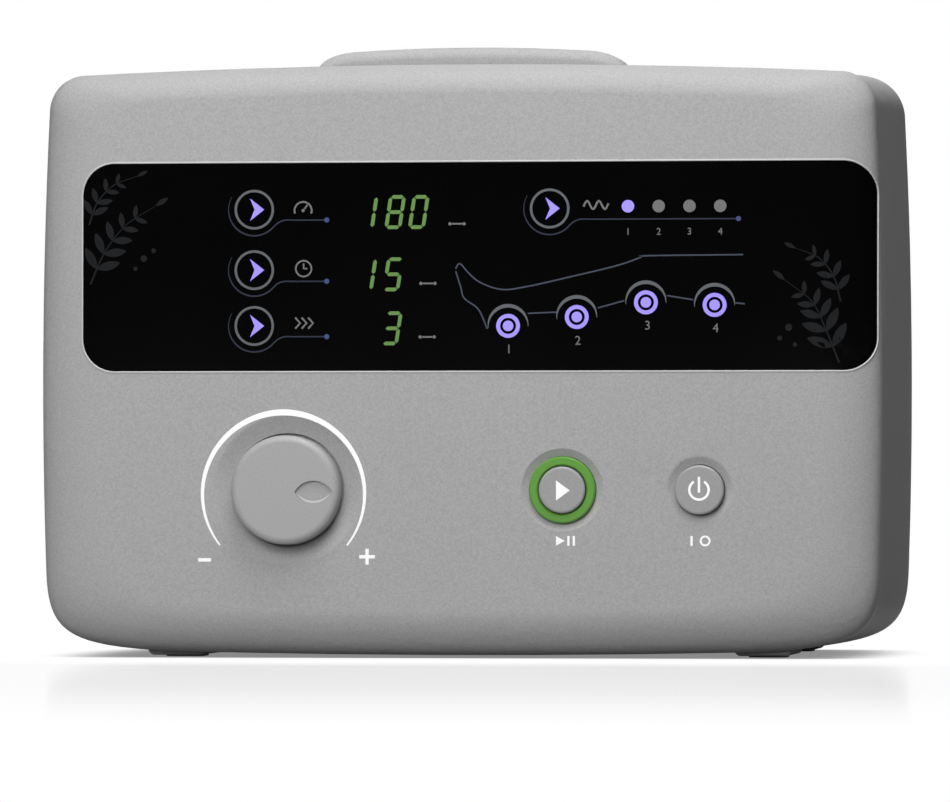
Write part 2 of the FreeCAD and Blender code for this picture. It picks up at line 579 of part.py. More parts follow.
def foot_pads():
    return group([tray(x0 + 3.3, x1 - 3.3, y, y + 18, 3, 0, RUNNER_Z) for x0, x1 in RUNNER_X for y in PAD_Y])


# ------------------------------------------------------------------ air pump and valves
def pump_frame():
    """Aluminium casting: a base plate, two end plates and the pedestals of the cores."""
    base = box(-84, 84, 98, 162, PUMP_FLOOR_Z, PUMP_FLOOR_Z + 4)
    ends = [slab_x(side * 46 - 2, side * 46 + 2, 98, 162, PUMP_FLOOR_Z + 3, 82) for side in (-1, 1)]
    pedestals = [box(-28, 28, y, y + 6, PUMP_FLOOR_Z + 3, 36) for y in (98, 156)]
    body = join([base] + ends + pedestals)
    ring = [rod_x(PUMP_Y, PUMP_Z, 24, side * 46 - 3, side * 46 + 3) for side in (-1, 1)]
    studs = [rod_z(x, y, 2.6, PUMP_FLOOR_Z - 1, PUMP_FLOOR_Z + 6) for x, y in PUMP_MOUNTS]
    return body.cut(ring + studs)


def slab_x(x0, x1, y0, y1, z0, z1):
    """Plate that faces sideways with rounded top corners."""
    block = box(x0, x1, y0, y1, z0, z1)
    top = [e for e in block.Edges if e.BoundBox.ZMin > z1 - 0.01 and e.BoundBox.XMax - e.BoundBox.XMin > 1]
    return block.makeFillet(12, top)


def pump_cores():
    """Two laminated E-cores, their teeth towards the armature."""
    cores = []
    for side in (-1, 1):
        y_back, y_tip = PUMP_Y + side * 32, PUMP_Y + side * 12
        bar = box(-28, 28, *sorted((y_back, y_back - side * 6)), 36, 64)
        teeth = [box(x - w, x + w, *sorted((y_back - side * 5, y_tip)), 36, 64)
                 for x, w in ((-23, 5), (0, 6), (23, 5))]
        cores.append(join([bar] + teeth))
    return group(cores)


def pump_coils():
    coils = []
    for side in (-1, 1):
        y0, y1 = sorted((PUMP_Y + side * 25.8, PUMP_Y + side * 14))
        outer = slab(-16.5, 16.5, 28, 72, 6, y0, y1)
        coils.append(outer.cut(box(-6.2, 6.2, y0 - 1, y1 + 1, 35.8, 64.2)))
    return group(coils)


def pump_armature():
    """Moving bar: a rod through a block that carries four magnets, and a plate at each end."""
    rod = rod_x(PUMP_Y, PUMP_Z, 4, -52, 52)
    block = box(-24, 24, PUMP_Y - 8.5, PUMP_Y + 8.5, PUMP_Z - 12, PUMP_Z + 12)
    plates = [rod_x(PUMP_Y, PUMP_Z, 9.6, *sorted((side * 47, side * 51))) for side in (-1, 1)]
    return join([rod, block] + plates)


def armature_magnets():
    return group([box(*sorted((sx * 3, sx * 21)), *sorted((PUMP_Y + sy * 8.5, PUMP_Y + sy * 10.5)), 40, 60)
                  for sx in (-1, 1) for sy in (-1, 1)])


def pump_diaphragms():
    """Rubber diaphragms, clamped between the end plates and the heads."""
    rings = []
    for side in (-1, 1):
        x0, x1 = sorted((side * 48, side * 49.6))
        ring = rod_x(PUMP_Y, PUMP_Z, 30, x0, x1).cut(rod_x(PUMP_Y, PUMP_Z, 10, x0 - 1, x1 + 1))
        rings.append(ring)
    return group(rings)


def pump_heads():
    """Compression chambers with their valve boxes and outlet nipples."""
    heads = []
    for side in (-1, 1):
        cup = rod_x(PUMP_Y, PUMP_Z, 30, *sorted((side * 49.6, side * 60)))
        x0, x1 = sorted((side * 59, side * 80))
        valve_box = slab_x(x0, x1, PUMP_Y - 22, PUMP_Y + 22, PUMP_Z - 22, PUMP_Z + 30)
        nipple = rod_z(side * HEAD_PORT_X, PUMP_Y, NIPPLE_R, PUMP_Z + 29, PUMP_Z + 34.5)
        chamber = rod_x(PUMP_Y, PUMP_Z, 22, *sorted((side * 49, side * (54.5 + ARMATURE_TRAVEL))))
        way = rod_z(side * HEAD_PORT_X, PUMP_Y, 1.5, PUMP_Z, PUMP_Z + 40)
        cross = rod_x(PUMP_Y, PUMP_Z, 1.5, *sorted((side * 55, side * HEAD_PORT_X)))
        heads.append(join([cup, valve_box, nipple]).cut([chamber, way, cross]))
    return group(heads)


def pump_mounts():
    """Rubber buffers with a steel stud's length of rubber through the casting's holes."""
    z = PUMP_FLOOR_Z
    steps = [(6.5, 6.0, z), (2.5, z - 1, z + 7), (4.5, z + 4, z + 7)]
    return group([join([rod_z(x, y, *step) for step in steps]) for x, y in PUMP_MOUNTS])


def air_pipes():
    """Rubber tubes: pump to manifold, manifold to each outlet, manifold to the sensor."""
    low, high = PUMP_Z + 30.5, SHELF_Z + SHELF_T - 0.5
    run = PUMP_Z + 41.5
    x0, x1 = -HEAD_PORT_X, -20.0
    left = rod_z(x0, PUMP_Y, PIPE_R, low, high).cut(rod_z(x0, PUMP_Y, PIPE_BORE_R, low, high))
    turns = [(HEAD_PORT_X, low), (HEAD_PORT_X, run), (x1, run), (x1, high)]
    right = pipe([Vector(x, PUMP_Y, z) for x, z in turns], 6.5, PIPE_R, PIPE_BORE_R)
    span = MANIFOLD[3] + 0.5, 180.5
    outlets = [rod_y(x, OUTLET_Z, PIPE_R, *span).cut(rod_y(x, OUTLET_Z, PIPE_BORE_R, *span))
               for x in OUTLET_X]
    x0, x1 = MANIFOLD[1] + 0.5, 29.5
    sense = rod_x(PUMP_Y, OUTLET_Z, 2.6, x0, x1).cut(rod_x(PUMP_Y, OUTLET_Z, 1.6, x0, x1))
    return group([left, right, sense] + outlets)


def valve_manifold():
    """Drilled block that shares the air out between the four outlets."""
    x0, x1, y0, y1 = MANIFOLD
    base_z = SHELF_Z + SHELF_T
    block = box(x0, x1, y0, y1, base_z, base_z + MANIFOLD_H)
    low = [rod_z(x, PUMP_Y, NIPPLE_R, base_z - 3.5, base_z + 1) for x in (-HEAD_PORT_X, -20)]
    rear = [rod_y(x, OUTLET_Z, NIPPLE_R, y1 - 1, y1 + 8) for x in OUTLET_X]
    sense = rod_x(PUMP_Y, OUTLET_Z, 1.5, x1 - 1, x1 + 6)
    body = join([block] + low + rear + [sense])
    drill = [rod_x(PUMP_Y, OUTLET_Z, 2.4, x0 + 6, x1 - 4), rod_x(PUMP_Y, OUTLET_Z, 0.8, x1 - 6, x1 + 7)]
    drill += [rod_z(x, PUMP_Y, 1.5, base_z - 9, OUTLET_Z) for x in (-HEAD_PORT_X, -20)]
    drill += [rod_y(x, OUTLET_Z, 1.5, PUMP_Y, y1 + 9) for x in OUTLET_X]
    return body.cut(drill)


def solenoid_valves():
    """Four coil valves on the manifold, one per outlet: a coil inside a folded yoke."""
    top = SHELF_Z + SHELF_T + MANIFOLD_H
    valves = []
    for x in OUTLET_X:
        coil = rod_z(x, 140, 6.6, top + 1.5, top + 22)
        yoke = box(x - 7.4, x + 7.4, 132, 148, top, top + 24)
        room = box(x - 6, x + 6, 131, 149, top + 1.5, top + 22)
        stem = rod_z(x, 140, 2.5, top + 23, top + 28)
        valves.append(join([coil, yoke.cut(room), stem]))
    return group(valves)


def inner_shelf():
    """Steel shelf across the rear casing, with pressed-in standoffs for the main board."""
    plate = tray(-143, 143, 62, 158, 4, SHELF_Z, SHELF_Z + SHELF_T)
    base = SHELF_Z + SHELF_T
    standoffs = [rod_z(x, y, 3, base - 0.5, MAIN_BOARD[4]) for x, y in board_corners()]
    holes = [rod_z(x, PUMP_Y, 6, SHELF_Z - 1, SHELF_Z + 4) for x in (-HEAD_PORT_X, -20)]
    holes += [rod_z(x, y, 1.3, base + 0.5, MAIN_BOARD[4] + 1) for x, y in board_corners()]
    return join([plate] + standoffs).cut(holes)


def outlet_block():
    """Air socket on the back: four hose bores, a flange outside and nipples inside."""
    x0, x1 = OUTLET_X[0] - 11.5, OUTLET_X[-1] + 11.5
    body = slab(x0, x1, OUTLET_Z - 12.5, OUTLET_Z + 12.5, 4, 181, BACK_Y + PORT_PROUD)
    flange = slab(x0 - 5, x1 + 5, OUTLET_Z - 15.5, OUTLET_Z + 15.5, 5, BACK_Y, BACK_Y + 2.5)
    nipples = [rod_y(x, OUTLET_Z, NIPPLE_R, 173, 182) for x in OUTLET_X]
    solid = join([body, flange] + nipples)
    face = BACK_Y + PORT_PROUD
    bores = [rod_y(x, OUTLET_Z, OUTLET_BORE_R, face - OUTLET_DEPTH, face + 1) for x in OUTLET_X]
    ways = [rod_y(x, OUTLET_Z, 1.5, 172, face - OUTLET_DEPTH + 1) for x in OUTLET_X]
    return solid.cut(bores + ways)


def filter_cap():
    """Intake filter's snap-in cap with radial slots."""
    x, z = FILTER
    cap = rod_y(x, z, 18, BACK_Y, BACK_Y + 2.2)
    rim = [e for e in cap.Edges if e.Closed and e.CenterOfMass.y > BACK_Y + 2]
    cap = cap.makeFillet(1.2, rim)
    skirt = rod_y(x, z, 15, BACK_Y - 8, BACK_Y + 0.5).cut(rod_y(x, z, 13.4, BACK_Y - 9, BACK_Y))
    spokes = []
    for i in range(8):
        slot = slab(x + 4.5, x + 12.5, z - 1.1, z + 1.1, 1.05, BACK_Y - 1, BACK_Y + 3)
        slot.rotate(Vector(x, 0, z), Vector(0, 1, 0), 45 * i)
        spokes.append(slot)
    return join([cap, skirt]).cut(spokes)


def filter_foam():
    return rod_y(*FILTER, 13.2, BACK_Y - 8, BACK_Y)


# ------------------------------------------------------------------ power and electronics
def main_board():
    x0, x1, y0, y1, z = MAIN_BOARD
    board = tray(x0, x1, y0, y1, 3, z, z + BOARD_T)
    return board.cut(group([rod_z(x, y, 1.6, z - 1, z + 3) for x, y in board_corners()]))


def board_corners():
    x0, x1, y0, y1, _ = MAIN_BOARD
    return [(x, y) for x in (x0 + 5, x1 - 5) for y in (y0 + 5, y1 - 5)]


def board_screws():
    top = MAIN_BOARD[4] + BOARD_T
    main = [screw(x, y, top, Vector(0, 0, -1), 5, 1.25, 2.6, 1.8) for x, y in board_corners()]
    front = [(x, DISPLAY_BOARD_Y, z) for x, z in DISPLAY_SCREWS]
    front += [(x, CONTROL_BOARD_Y, z) for x, z in CONTROL_SCREWS]
    return group(main + [screw(x, y + BOARD_T, z, Vector(0, -1, 0), 7, 1.15, 2.6, 1.8) for x, y, z in front])


def heat_sink():
    z = MAIN_BOARD[4] + BOARD_T
    base = box(96, 130, 74, 112, z, z + 4)
    return join([base] + [box(96 + 6.4 * i, 98 + 6.4 * i, 74, 112, z + 3, z + 26) for i in range(6)])


def capacitors():
    z = MAIN_BOARD[4] + BOARD_T
    cans = []
    for x in (50, 70, 90):
        can = rod_z(x, 148, 8, z, z + 26)
        top = [e for e in can.Edges if e.Closed and e.CenterOfMass.z > z + 25]
        cans.append(can.makeFillet(1.2, top))
    return group(cans)


def pressure_sensor():
    z = MAIN_BOARD[4] + BOARD_T
    case = slab(30, 42, z, z + 11, 1, PUMP_Y - 6, PUMP_Y + 6)
    return join([case, rod_x(PUMP_Y, OUTLET_Z, 1.5, 24, 31)]).cut(rod_x(PUMP_Y, OUTLET_Z, 0.8, 23, 36))


def transformer_core():
    """Laminated EI core that stands on the rear casing's floor."""
    x = TRANSFORMER_X
    core = box(x - 23, x + 23, 74, 96, 7, 45)
    windows = [box(left, left + 9, 73, 97, 15, 37) for left in (x - 15, x + 6)]
    return core.cut(windows)


def transformer_winding():
    x = TRANSFORMER_X
    outer = tray(x - 14.7, x + 14.7, 64, 106, 3, 15.3, 36.7)
    return outer.cut(box(x - 6.2, x + 6.2, 73.6, 96.4, 14, 38))


def mains_inlet():
    """Three-pin appliance inlet with a slot for the fuse drawer below it."""
    x, z = INLET
    body = slab(x - 13.7, x + 13.7, z - 23.7, z + 13.7, 1.5, 174, BACK_Y + 0.5)
    flange = slab(x - 17, x + 17, z - 27, z + 17, 3, BACK_Y, BACK_Y + 2.2)
    socket = slab(x - 12, x + 12, z - 8.2, z + 8.2, 3, 181, BACK_Y + 4)
    slot = box(x - 11, x + 11, 177, BACK_Y + 4, z - 22, z - 11)
    return join([body, flange]).cut([socket, slot])


def inlet_pins():
    x, z = INLET
    return group([box(x + dx - 1, x + dx + 1, 181, 196, z + dz - 2, z + dz + 2)
                  for dx, dz in ((-7, 0.5), (0, 4.5), (7, 0.5))])


def fuse_drawer():
    """Drawer that pulls straight out; a cradle behind its finger plate holds the fuse."""
    x, z = INLET
    cradle = box(x - 10.7, x + 10.7, 178, BACK_Y + 1.5, z - 21.7, z - 11.3)
    cradle = cradle.cut(box(x - 8.5, x + 8.5, 180, BACK_Y - 1, z - 19.5, z - 10))
    plate = slab(x - 12.5, x + 12.5, z - 23, z - 10.2, 1.5, BACK_Y + 2.3, BACK_Y + 4.2)
    neck = box(x - 10.7, x + 10.7, BACK_Y + 1, BACK_Y + 2.5, z - 21.7, z - 11.3)
    grip = slab(x - 6, x + 6, z - 17.6, z - 15.6, 0.9, BACK_Y + 3.6, BACK_Y + 5)
    return join([cradle, neck, plate]).cut(grip)


def fuse():
    x, z = INLET
    glass = rod_y(x, z - 16.9, 2.4, 184, BACK_Y - 5)
    caps = [rod_y(x, z - 16.9, 2.6, y, y + 4.2) for y in (181.5, BACK_Y - 6.7)]
    return join([glass] + caps)


def fan_frame():
    """Square fan housing with a round duct and three spokes that hold the motor's cup."""
    x, z, side, thick = FAN
    y0 = FAN_BACK_Y - thick
    h = side / 2
    shell = slab(x - h, x + h, z - h, z + h, 4, y0, FAN_BACK_Y)
    shell = shell.cut(rod_y(x, z, 28, y0 - 1, FAN_BACK_Y + 1))
    hub = rod_y(x, z, 13, y0, y0 + 2)
    arm = box(x - 1.5, x + 1.5, y0, y0 + 2, z, z + 29)
    arms = [arm.rotated(Vector(x, 0, z), Vector(0, 1, 0), turn) for turn in (0, 120, 240)]
    axle = rod_y(x, z, 1.5, y0 + 1, y0 + 11)
    holes = [rod_y(hole_x, hole_z, 1.8, y0 - 1, FAN_BACK_Y + 1) for hole_x, hole_z in fan_corners()]
    return join([shell, hub, axle] + arms).cut(holes)


def fan_corners():
    x, z = FAN[:2]
    return [(x + dx, z + dz) for dx in (-25, 25) for dz in (-25, 25)]


def fan_impeller():
    """Seven raked blades on a hub that turns on the housing's axle."""
    x, z, _, thick = FAN
    y0 = FAN_BACK_Y - thick + 3
    hub = rod_y(x, z, 12.5, y0, y0 + 10)
    blades = []
    for i in range(7):
        section = [(-5, 1), (-3.6, 1), (6, 9), (4.6, 9), (-5, 1)]
        blade = Part.makePolygon([Vector(x + across, y0 + back, z) for across, back in section])
        blade = Part.Face(blade).extrude(Vector(0, 0, 27))
        blades.append(blade.rotated(Vector(x, 0, z), Vector(0, 1, 0), 360 / 7 * i))
    body = join([hub] + blades).common(rod_y(x, z, 27.2, y0, y0 + 10))
    return body.cut(rod_y(x, z, 1.55, y0 - 1, y0 + 9))


def case_screws():
    y = SEAM_Y + SEAM_GAP + 4
    return group([screw(x, y, z, Vector(0, -1, 0), 14, 1.35, 3.0, 2.2) for x, z in CASE_SCREWS])


def rear_screws():
    """Screws that hold the rear cover, and the longer ones that hold the fan to it."""
    cover = [screw(x, BACK_Y - 2.4, z, Vector(0, -1, 0), 16, 1.35, 3.1, 2.0) for x, z in COVER_SCREWS]
    fan = [screw(x, BACK_Y, z, Vector(0, -1, 0), 12, 1.6, 3.4, 2.0) for x, z in fan_corners()]
    return group(cover + fan)


def ribbon_cable():
    """Flat cable from the control board back to the main board."""
    front = CONTROL_BOARD_Y + BOARD_T
    board_z = MAIN_BOARD[4] + BOARD_T
    points = [(front, 70), (front, 74), (26, 80), (50, 109.5), (66, board_z + 0.8), (74, board_z + 0.8),
              (74, board_z), (66, board_z), (50.6, 108.6), (26.8, 79), (front + 1, 70)]
    strip = [Vector(60, y, z) for y, z in points]
    return Part.Face(Part.makePolygon(strip + strip[:1])).extrude(Vector(32, 0, 0))


# ------------------------------------------------------------------ the pieces
def build():
    os.makedirs("parts", exist_ok=True)
    save("front_casing", front_casing())
    save("display_lens", display_lens())
    save("lens_tape", lens_tape())
    x0, x1, z0, z1 = WINDOW
    save("display_board", circuit_board(x0 + 6, x1 - 5, z0 - 1, z1 + 1, DISPLAY_BOARD_Y, DISPLAY_SCREWS))
    for name, row, count in (("pressure_digits", 0, 3), ("time_digits", 1, 2), ("speed_digit", 2, 1)):
        save(name, digit_block(row, count))
    save("mode_lamps", lamps(LAMP_SPOTS, 2.3))
    save("channel_lamps", lamp_rings(CHANNEL_SPOTS))
    save("touch_pads", touch_pads())
    save("control_board", circuit_board(-93, 109, 37, 87, CONTROL_BOARD_Y, CONTROL_SCREWS))
    save("knob", knob())
    save("encoder_shaft", encoder_shaft())
    save("encoder_body", encoder_body())
    save("encoder_nut", encoder_nut())
    save("start_button", button(START_X, START_CAP_R, START_CAP_R + 1.8, 6.2))
    save("start_light_ring", start_light_ring())
    save("start_switch", switch_body(START_X))
    save("start_plunger", switch_plunger(START_X))
    save("power_button", button(POWER_X, POWER_CAP_R, POWER_CAP_R + 1.7, 4.9))
    save("power_switch", switch_body(POWER_X))
    save("power_plunger", switch_plunger(POWER_X))
    save("rear_casing", rear_casing())
    save("handle_well", handle_well())
    save("handle", handle())
    save("handle_screws", handle_screws())
    save("rear_cover", rear_cover())
    save("foot_pads", foot_pads())
    save("case_screws", case_screws())
    save("rear_screws", rear_screws())
    save("pump_frame", pump_frame())
    save("pump_cores", pump_cores())
    save("pump_coils", pump_coils())
    save("pump_armature", pump_armature())
    save("armature_magnets", armature_magnets())
    save("pump_diaphragms", pump_diaphragms())
    save("pump_heads", pump_heads())
    save("pump_mounts", pump_mounts())
    save("valve_manifold", valve_manifold())
    save("solenoid_valves", solenoid_valves())
    save("inner_shelf", inner_shelf())
    save("outlet_block", outlet_block())
    save("air_pipes", air_pipes())
    save("filter_cap", filter_cap())
    save("filter_foam", filter_foam())
    save("main_board", main_board())
    save("board_screws", board_screws())
    save("heat_sink", heat_sink())
    save("capacitors", capacitors())
    save("pressure_sensor", pressure_sensor())
    save("transformer_core", transformer_core())
    save("transformer_winding", transformer_winding())
    save("mains_inlet", mains_inlet())
    save("inlet_pins", inlet_pins())
    save("fuse_drawer", fuse_drawer())
    save("fuse", fuse())
    save("fan_frame", fan_frame())
    save("fan_impeller", fan_impeller())
    save("ribbon_cable", ribbon_cable())


build()
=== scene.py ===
# %% [markdown]
# # A compression therapy pump
# This lesson dresses a finished CAD model of a table-top air pump. The CAD pieces stay
# where they are and keep their shapes. Here they get smooth shading and finishes, and
# the thin prints and the bead round the window, which CAD leaves out, are added to them.
# Everything is in metres, the front of the pump faces -Y and the table is at z = 0.

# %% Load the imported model
import bpy
import json
import math
import numpy as np
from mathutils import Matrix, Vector


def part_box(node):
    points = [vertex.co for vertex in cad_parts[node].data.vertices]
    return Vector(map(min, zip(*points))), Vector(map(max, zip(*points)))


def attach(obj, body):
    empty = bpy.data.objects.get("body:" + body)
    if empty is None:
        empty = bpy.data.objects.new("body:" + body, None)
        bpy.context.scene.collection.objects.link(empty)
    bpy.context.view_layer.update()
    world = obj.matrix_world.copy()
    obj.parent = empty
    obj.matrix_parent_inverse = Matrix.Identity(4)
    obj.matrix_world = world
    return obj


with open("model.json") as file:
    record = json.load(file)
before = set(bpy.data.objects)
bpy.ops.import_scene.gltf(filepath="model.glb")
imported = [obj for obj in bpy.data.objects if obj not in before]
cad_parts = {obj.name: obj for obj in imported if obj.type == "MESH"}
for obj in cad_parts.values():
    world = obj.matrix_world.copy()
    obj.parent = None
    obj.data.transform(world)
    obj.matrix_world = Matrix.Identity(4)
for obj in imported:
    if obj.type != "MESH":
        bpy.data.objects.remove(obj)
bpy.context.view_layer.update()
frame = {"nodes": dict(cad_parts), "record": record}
nodes = frame["nodes"]
slots = {part["node"]: part["material_slot"] for part in frame["record"]["subparts"]}
MM = 0.001
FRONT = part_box("display_lens")[0][1]
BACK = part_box("rear_cover")[1][1]
print(len(nodes), "CAD nodes; front face at y =", round(FRONT, 4))

# %% [markdown]
# ## Camera
# A product shot is taken from far away with a long lens, so that the box hardly tapers.
# The camera stands 7 degrees round to the right and a little below the middle of the
# front, as high as the turning knob. A camera is aimed by turning its -Z axis towards a
# point: `to_track_quat` does that and keeps Y up.

# %% Camera
AIM, LENS, DISTANCE = Vector((0.00685, FRONT, 0.0947)), 309.2, 3.0


def direction(turn, rise):
    """Unit vector (sin t cos r, -cos t cos r, sin r): t degrees right of the front, r degrees up."""
    t, r = math.radians(turn), math.radians(rise)
    return Vector((math.sin(t) * math.cos(r), -math.cos(t) * math.cos(r), math.sin(r)))


away = direction(7.0, -0.66)
camera = bpy.data.objects.new("camera", bpy.data.cameras.new("camera"))
bpy.context.collection.objects.link(camera)
camera.location = AIM + away * DISTANCE
camera.rotation_euler = (-away).to_track_quat("-Z", "Y").to_euler()
camera.data.lens = LENS
camera.data.clip_end = 30
bpy.context.scene.camera = camera
bpy.context.scene.view_settings.view_transform = "Standard"
print("camera at", [round(v, 3) for v in camera.location])

# %% [markdown]
# ## Node helpers
# Materials are graphs. Four small helpers keep the rest readable: `add` makes a node and
# sets its values, `wire` links two sockets, `calc` is a Math node with its terms and
# `span` maps one range of values onto another. Each link could be written out, but then
# the graphs below would drown in their wiring.

# %% Node helpers
def add(tree, kind, x=0, y=0, **values):
    """New node. Keys that are socket names (spaces as _) set sockets, others set properties."""
    node = tree.nodes.new(kind)
    node.location = (x, y)
    for key, value in values.items():
        socket = node.inputs.get(key.replace("_", " "))
        if socket is not None:
            socket.default_value = value
        else:
            setattr(node, key, value)
    return node


def wire(tree, source, output, target, socket):
    """Link an output of one node to an input of another, each by its name or its number."""
    tree.links.new(source.outputs[output], target.inputs[socket])


def calc(tree, operation, x, y, *terms):
    """Math node. A term is a number, or a (node, output) pair that is linked to it."""
    node = add(tree, "ShaderNodeMath", x, y, operation=operation)
    for i, term in enumerate(terms):
        if isinstance(term, tuple):
            wire(tree, *term, node, i)
        else:
            node.inputs[i].default_value = term
    return node


def span(tree, x, y, source, start, stop, low=0.0, high=1.0, **values):
    """Map Range node fed by a (node, output) pair: start...stop becomes low...high."""
    node = add(tree, "ShaderNodeMapRange", x, y, **values)
    wire(tree, *source, node, "Value")
    for socket, value in zip(("From Min", "From Max", "To Min", "To Max"), (start, stop, low, high)):
        node.inputs[socket].default_value = value
    return node


print("node helpers ready")

# %% [markdown]
# ## Surface effects as groups
# An effect that many finishes share is described once, as a node group with named sockets.
# The three effects here all put out a colour, a roughness and a normal, so their first and
# last nodes are made by helpers, and only the middle differs.

# %% Group helpers
def new_group(name, colours, numbers):
    """Empty effect with colour and number inputs, the three outputs, and its two end nodes."""
    tree = bpy.data.node_groups.new(name, "ShaderNodeTree")
    for label in colours:
        tree.interface.new_socket(label, in_out="INPUT", socket_type="NodeSocketColor")
    for label in numbers:
        tree.interface.new_socket(label, in_out="INPUT", socket_type="NodeSocketFloat")
    for label, kind in (("Colour", "Color"), ("Roughness", "Float"), ("Normal", "Vector")):
        tree.interface.new_socket(label, in_out="OUTPUT", socket_type="NodeSocket" + kind)
    return tree, add(tree, "NodeGroupInput", -900, 0), add(tree, "NodeGroupOutput", 700, 0)


def tinted(tree, begin, level, x, y):
    """The Base colour times a level that changes over the surface."""
    tint = add(tree, "ShaderNodeVectorMath", x, y, operation="SCALE")
    wire(tree, begin, "Base", tint, 0)
    wire(tree, *level, tint, "Scale")
    return tint, 0


def close_group(tree, end, colour, rough, height, strength, depth):
    """Link colour and roughness to the outputs, and a bump whose full depth is in metres."""
    bump = add(tree, "ShaderNodeBump", 200, -240, Distance=depth)
    wire(tree, *height, bump, "Height")
    wire(tree, *strength, bump, "Strength")
    wire(tree, *colour, end, "Colour")
    wire(tree, *rough, end, "Roughness")
    wire(tree, bump, "Normal", end, "Normal")
    return tree


GROUPS = {}
print("group helpers ready")

# %% [markdown]
# *Grain* is for paint and moulded plastic. A fine speckle changes the colour and lifts the
# surface by microns, and a broad, faint cloud changes how rough it is, as handling does.

# %% Grain group
def build_grain():
    """Base x (1 + speckle (fine - 0.5) + 0.05 (wide - 0.5)); roughness + smudge (wide - 0.5)."""
    tree, begin, end = new_group("grain", ["Base"], ["Scale", "Speckle", "Roughness", "Smudge", "Relief"])
    place = add(tree, "ShaderNodeTexCoord", -900, 300)
    fine = add(tree, "ShaderNodeTexNoise", -650, 300, Detail=2.0, Roughness=0.6)
    wide = add(tree, "ShaderNodeTexNoise", -650, -100, Scale=14.0, Detail=3.0, Roughness=0.55)
    wire(tree, place, "Object", fine, "Vector")
    wire(tree, place, "Object", wide, "Vector")
    wire(tree, begin, "Scale", fine, "Scale")
    centred = calc(tree, "SUBTRACT", -430, 300, (fine, "Fac"), 0.5)
    amount = calc(tree, "MULTIPLY", -260, 300, (centred, 0), (begin, "Speckle"))
    cloud = calc(tree, "SUBTRACT", -430, -20, (wide, "Fac"), 0.5)
    shade = calc(tree, "MULTIPLY_ADD", -100, 220, (cloud, 0), 0.05, (amount, 0))
    level = calc(tree, "ADD", 40, 220, (shade, 0), 1.0)
    rub = calc(tree, "MULTIPLY_ADD", 40, -60, (cloud, 0), (begin, "Smudge"), (begin, "Roughness"))
    return close_group(tree, end, tinted(tree, begin, (level, 0), 200, 220), (rub, 0), (fine, "Fac"),
                       (begin, "Relief"), 0.00003)


GROUPS["grain"] = build_grain()
print("grain group:", len(GROUPS["grain"].nodes), "nodes")

# %% [markdown]
# *Brushed* is for steel and aluminium. The same noise is squeezed along one direction by a
# Mapping node, so that it reads as the drawn lines that rolling and grinding leave.

# %% Brushed group
def build_brushed():
    """Lines along X: base x 0.86 to 1.12, roughness + contrast x lines."""
    tree, begin, end = new_group("brushed", ["Base"], ["Along", "Contrast", "Roughness"])
    place = add(tree, "ShaderNodeTexCoord", -900, 300)
    squeeze = add(tree, "ShaderNodeMapping", -700, 300, Scale=(60, 2200, 2200))
    lines = add(tree, "ShaderNodeTexNoise", -480, 300, Scale=1.0, Detail=3.0)
    wire(tree, place, "Object", squeeze, "Vector")
    wire(tree, squeeze, "Vector", lines, "Vector")
    level = span(tree, -250, 250, (lines, "Fac"), 0.0, 1.0, 0.86, 1.12)
    rough = calc(tree, "MULTIPLY_ADD", 0, 0, (lines, "Fac"), (begin, "Contrast"), (begin, "Roughness"))
    return close_group(tree, end, tinted(tree, begin, (level, "Result"), 0, 220), (rough, 0),
                       (lines, "Fac"), (begin, "Along"), 0.00002)


GROUPS["brushed"] = build_brushed()
print("brushed group:", len(GROUPS["brushed"].nodes), "nodes")

# %% [markdown]
# *Stripes* is for laminated steel, wound wire and flat cable: a wave across the piece gives
# both dark gaps and round crests. Each lamination or wire could be a solid of its own, but
# they are finer than a hair's breadth apart, and a wave costs nothing.

# %% Stripes group
def build_stripes():
    """A sine wave across X mixes gap and base, is 0.12 smoother on its crests, and raises them."""
    tree, begin, end = new_group("stripes", ["Base", "Gap"], ["Pitch", "Roughness", "Relief"])
    place = add(tree, "ShaderNodeTexCoord", -900, 300)
    wave = add(tree, "ShaderNodeTexWave", -600, 300, wave_type="BANDS", bands_direction="X",
               wave_profile="SIN", Distortion=0.4, Detail=1.0)
    wire(tree, place, "Object", wave, "Vector")
    wire(tree, begin, "Pitch", wave, "Scale")
    mix = add(tree, "ShaderNodeMix", -100, 250, data_type="RGBA")
    wire(tree, wave, "Fac", mix, 0)
    wire(tree, begin, "Gap", mix, 6)
    wire(tree, begin, "Base", mix, 7)
    rough = calc(tree, "MULTIPLY_ADD", -100, 0, (wave, "Fac"), -0.12, (begin, "Roughness"))
    return close_group(tree, end, (mix, 2), (rough, 0), (wave, "Fac"), (begin, "Relief"), 0.0002)


GROUPS["stripes"] = build_stripes()
print("stripes group:", len(GROUPS["stripes"].nodes), "nodes")

# %% [markdown]
# ## One function makes every finish
# A finish is a Principled shader, one effect group that feeds its colour, roughness and
# normal, and a few values that are the same all over, such as how metallic it is. Those
# stay on the shader's own sockets, where other programs can read them.

# %% Finish maker
def finish(name, effect, settings, **shader):
    """Material: effect group with its settings into a Principled shader with fixed values."""
    material = bpy.data.materials.get(name) or bpy.data.materials.new(name)
    material.use_nodes = True
    tree = material.node_tree
    tree.nodes.clear()
    principled, end = add(tree, "ShaderNodeBsdfPrincipled"), add(tree, "ShaderNodeOutputMaterial", 300)
    wire(tree, principled, "BSDF", end, "Surface")
    for label, value in shader.items():
        principled.inputs[label.replace("_", " ")].default_value = value
    group = add(tree, "ShaderNodeGroup", -300, 200)
    group.node_tree = GROUPS[effect]
    for label, value in settings.items():
        group.inputs[label].default_value = value
    wire(tree, group, "Colour", principled, "Base Color")
    wire(tree, group, "Roughness", principled, "Roughness")
    wire(tree, group, "Normal", principled, "Normal")
    return material


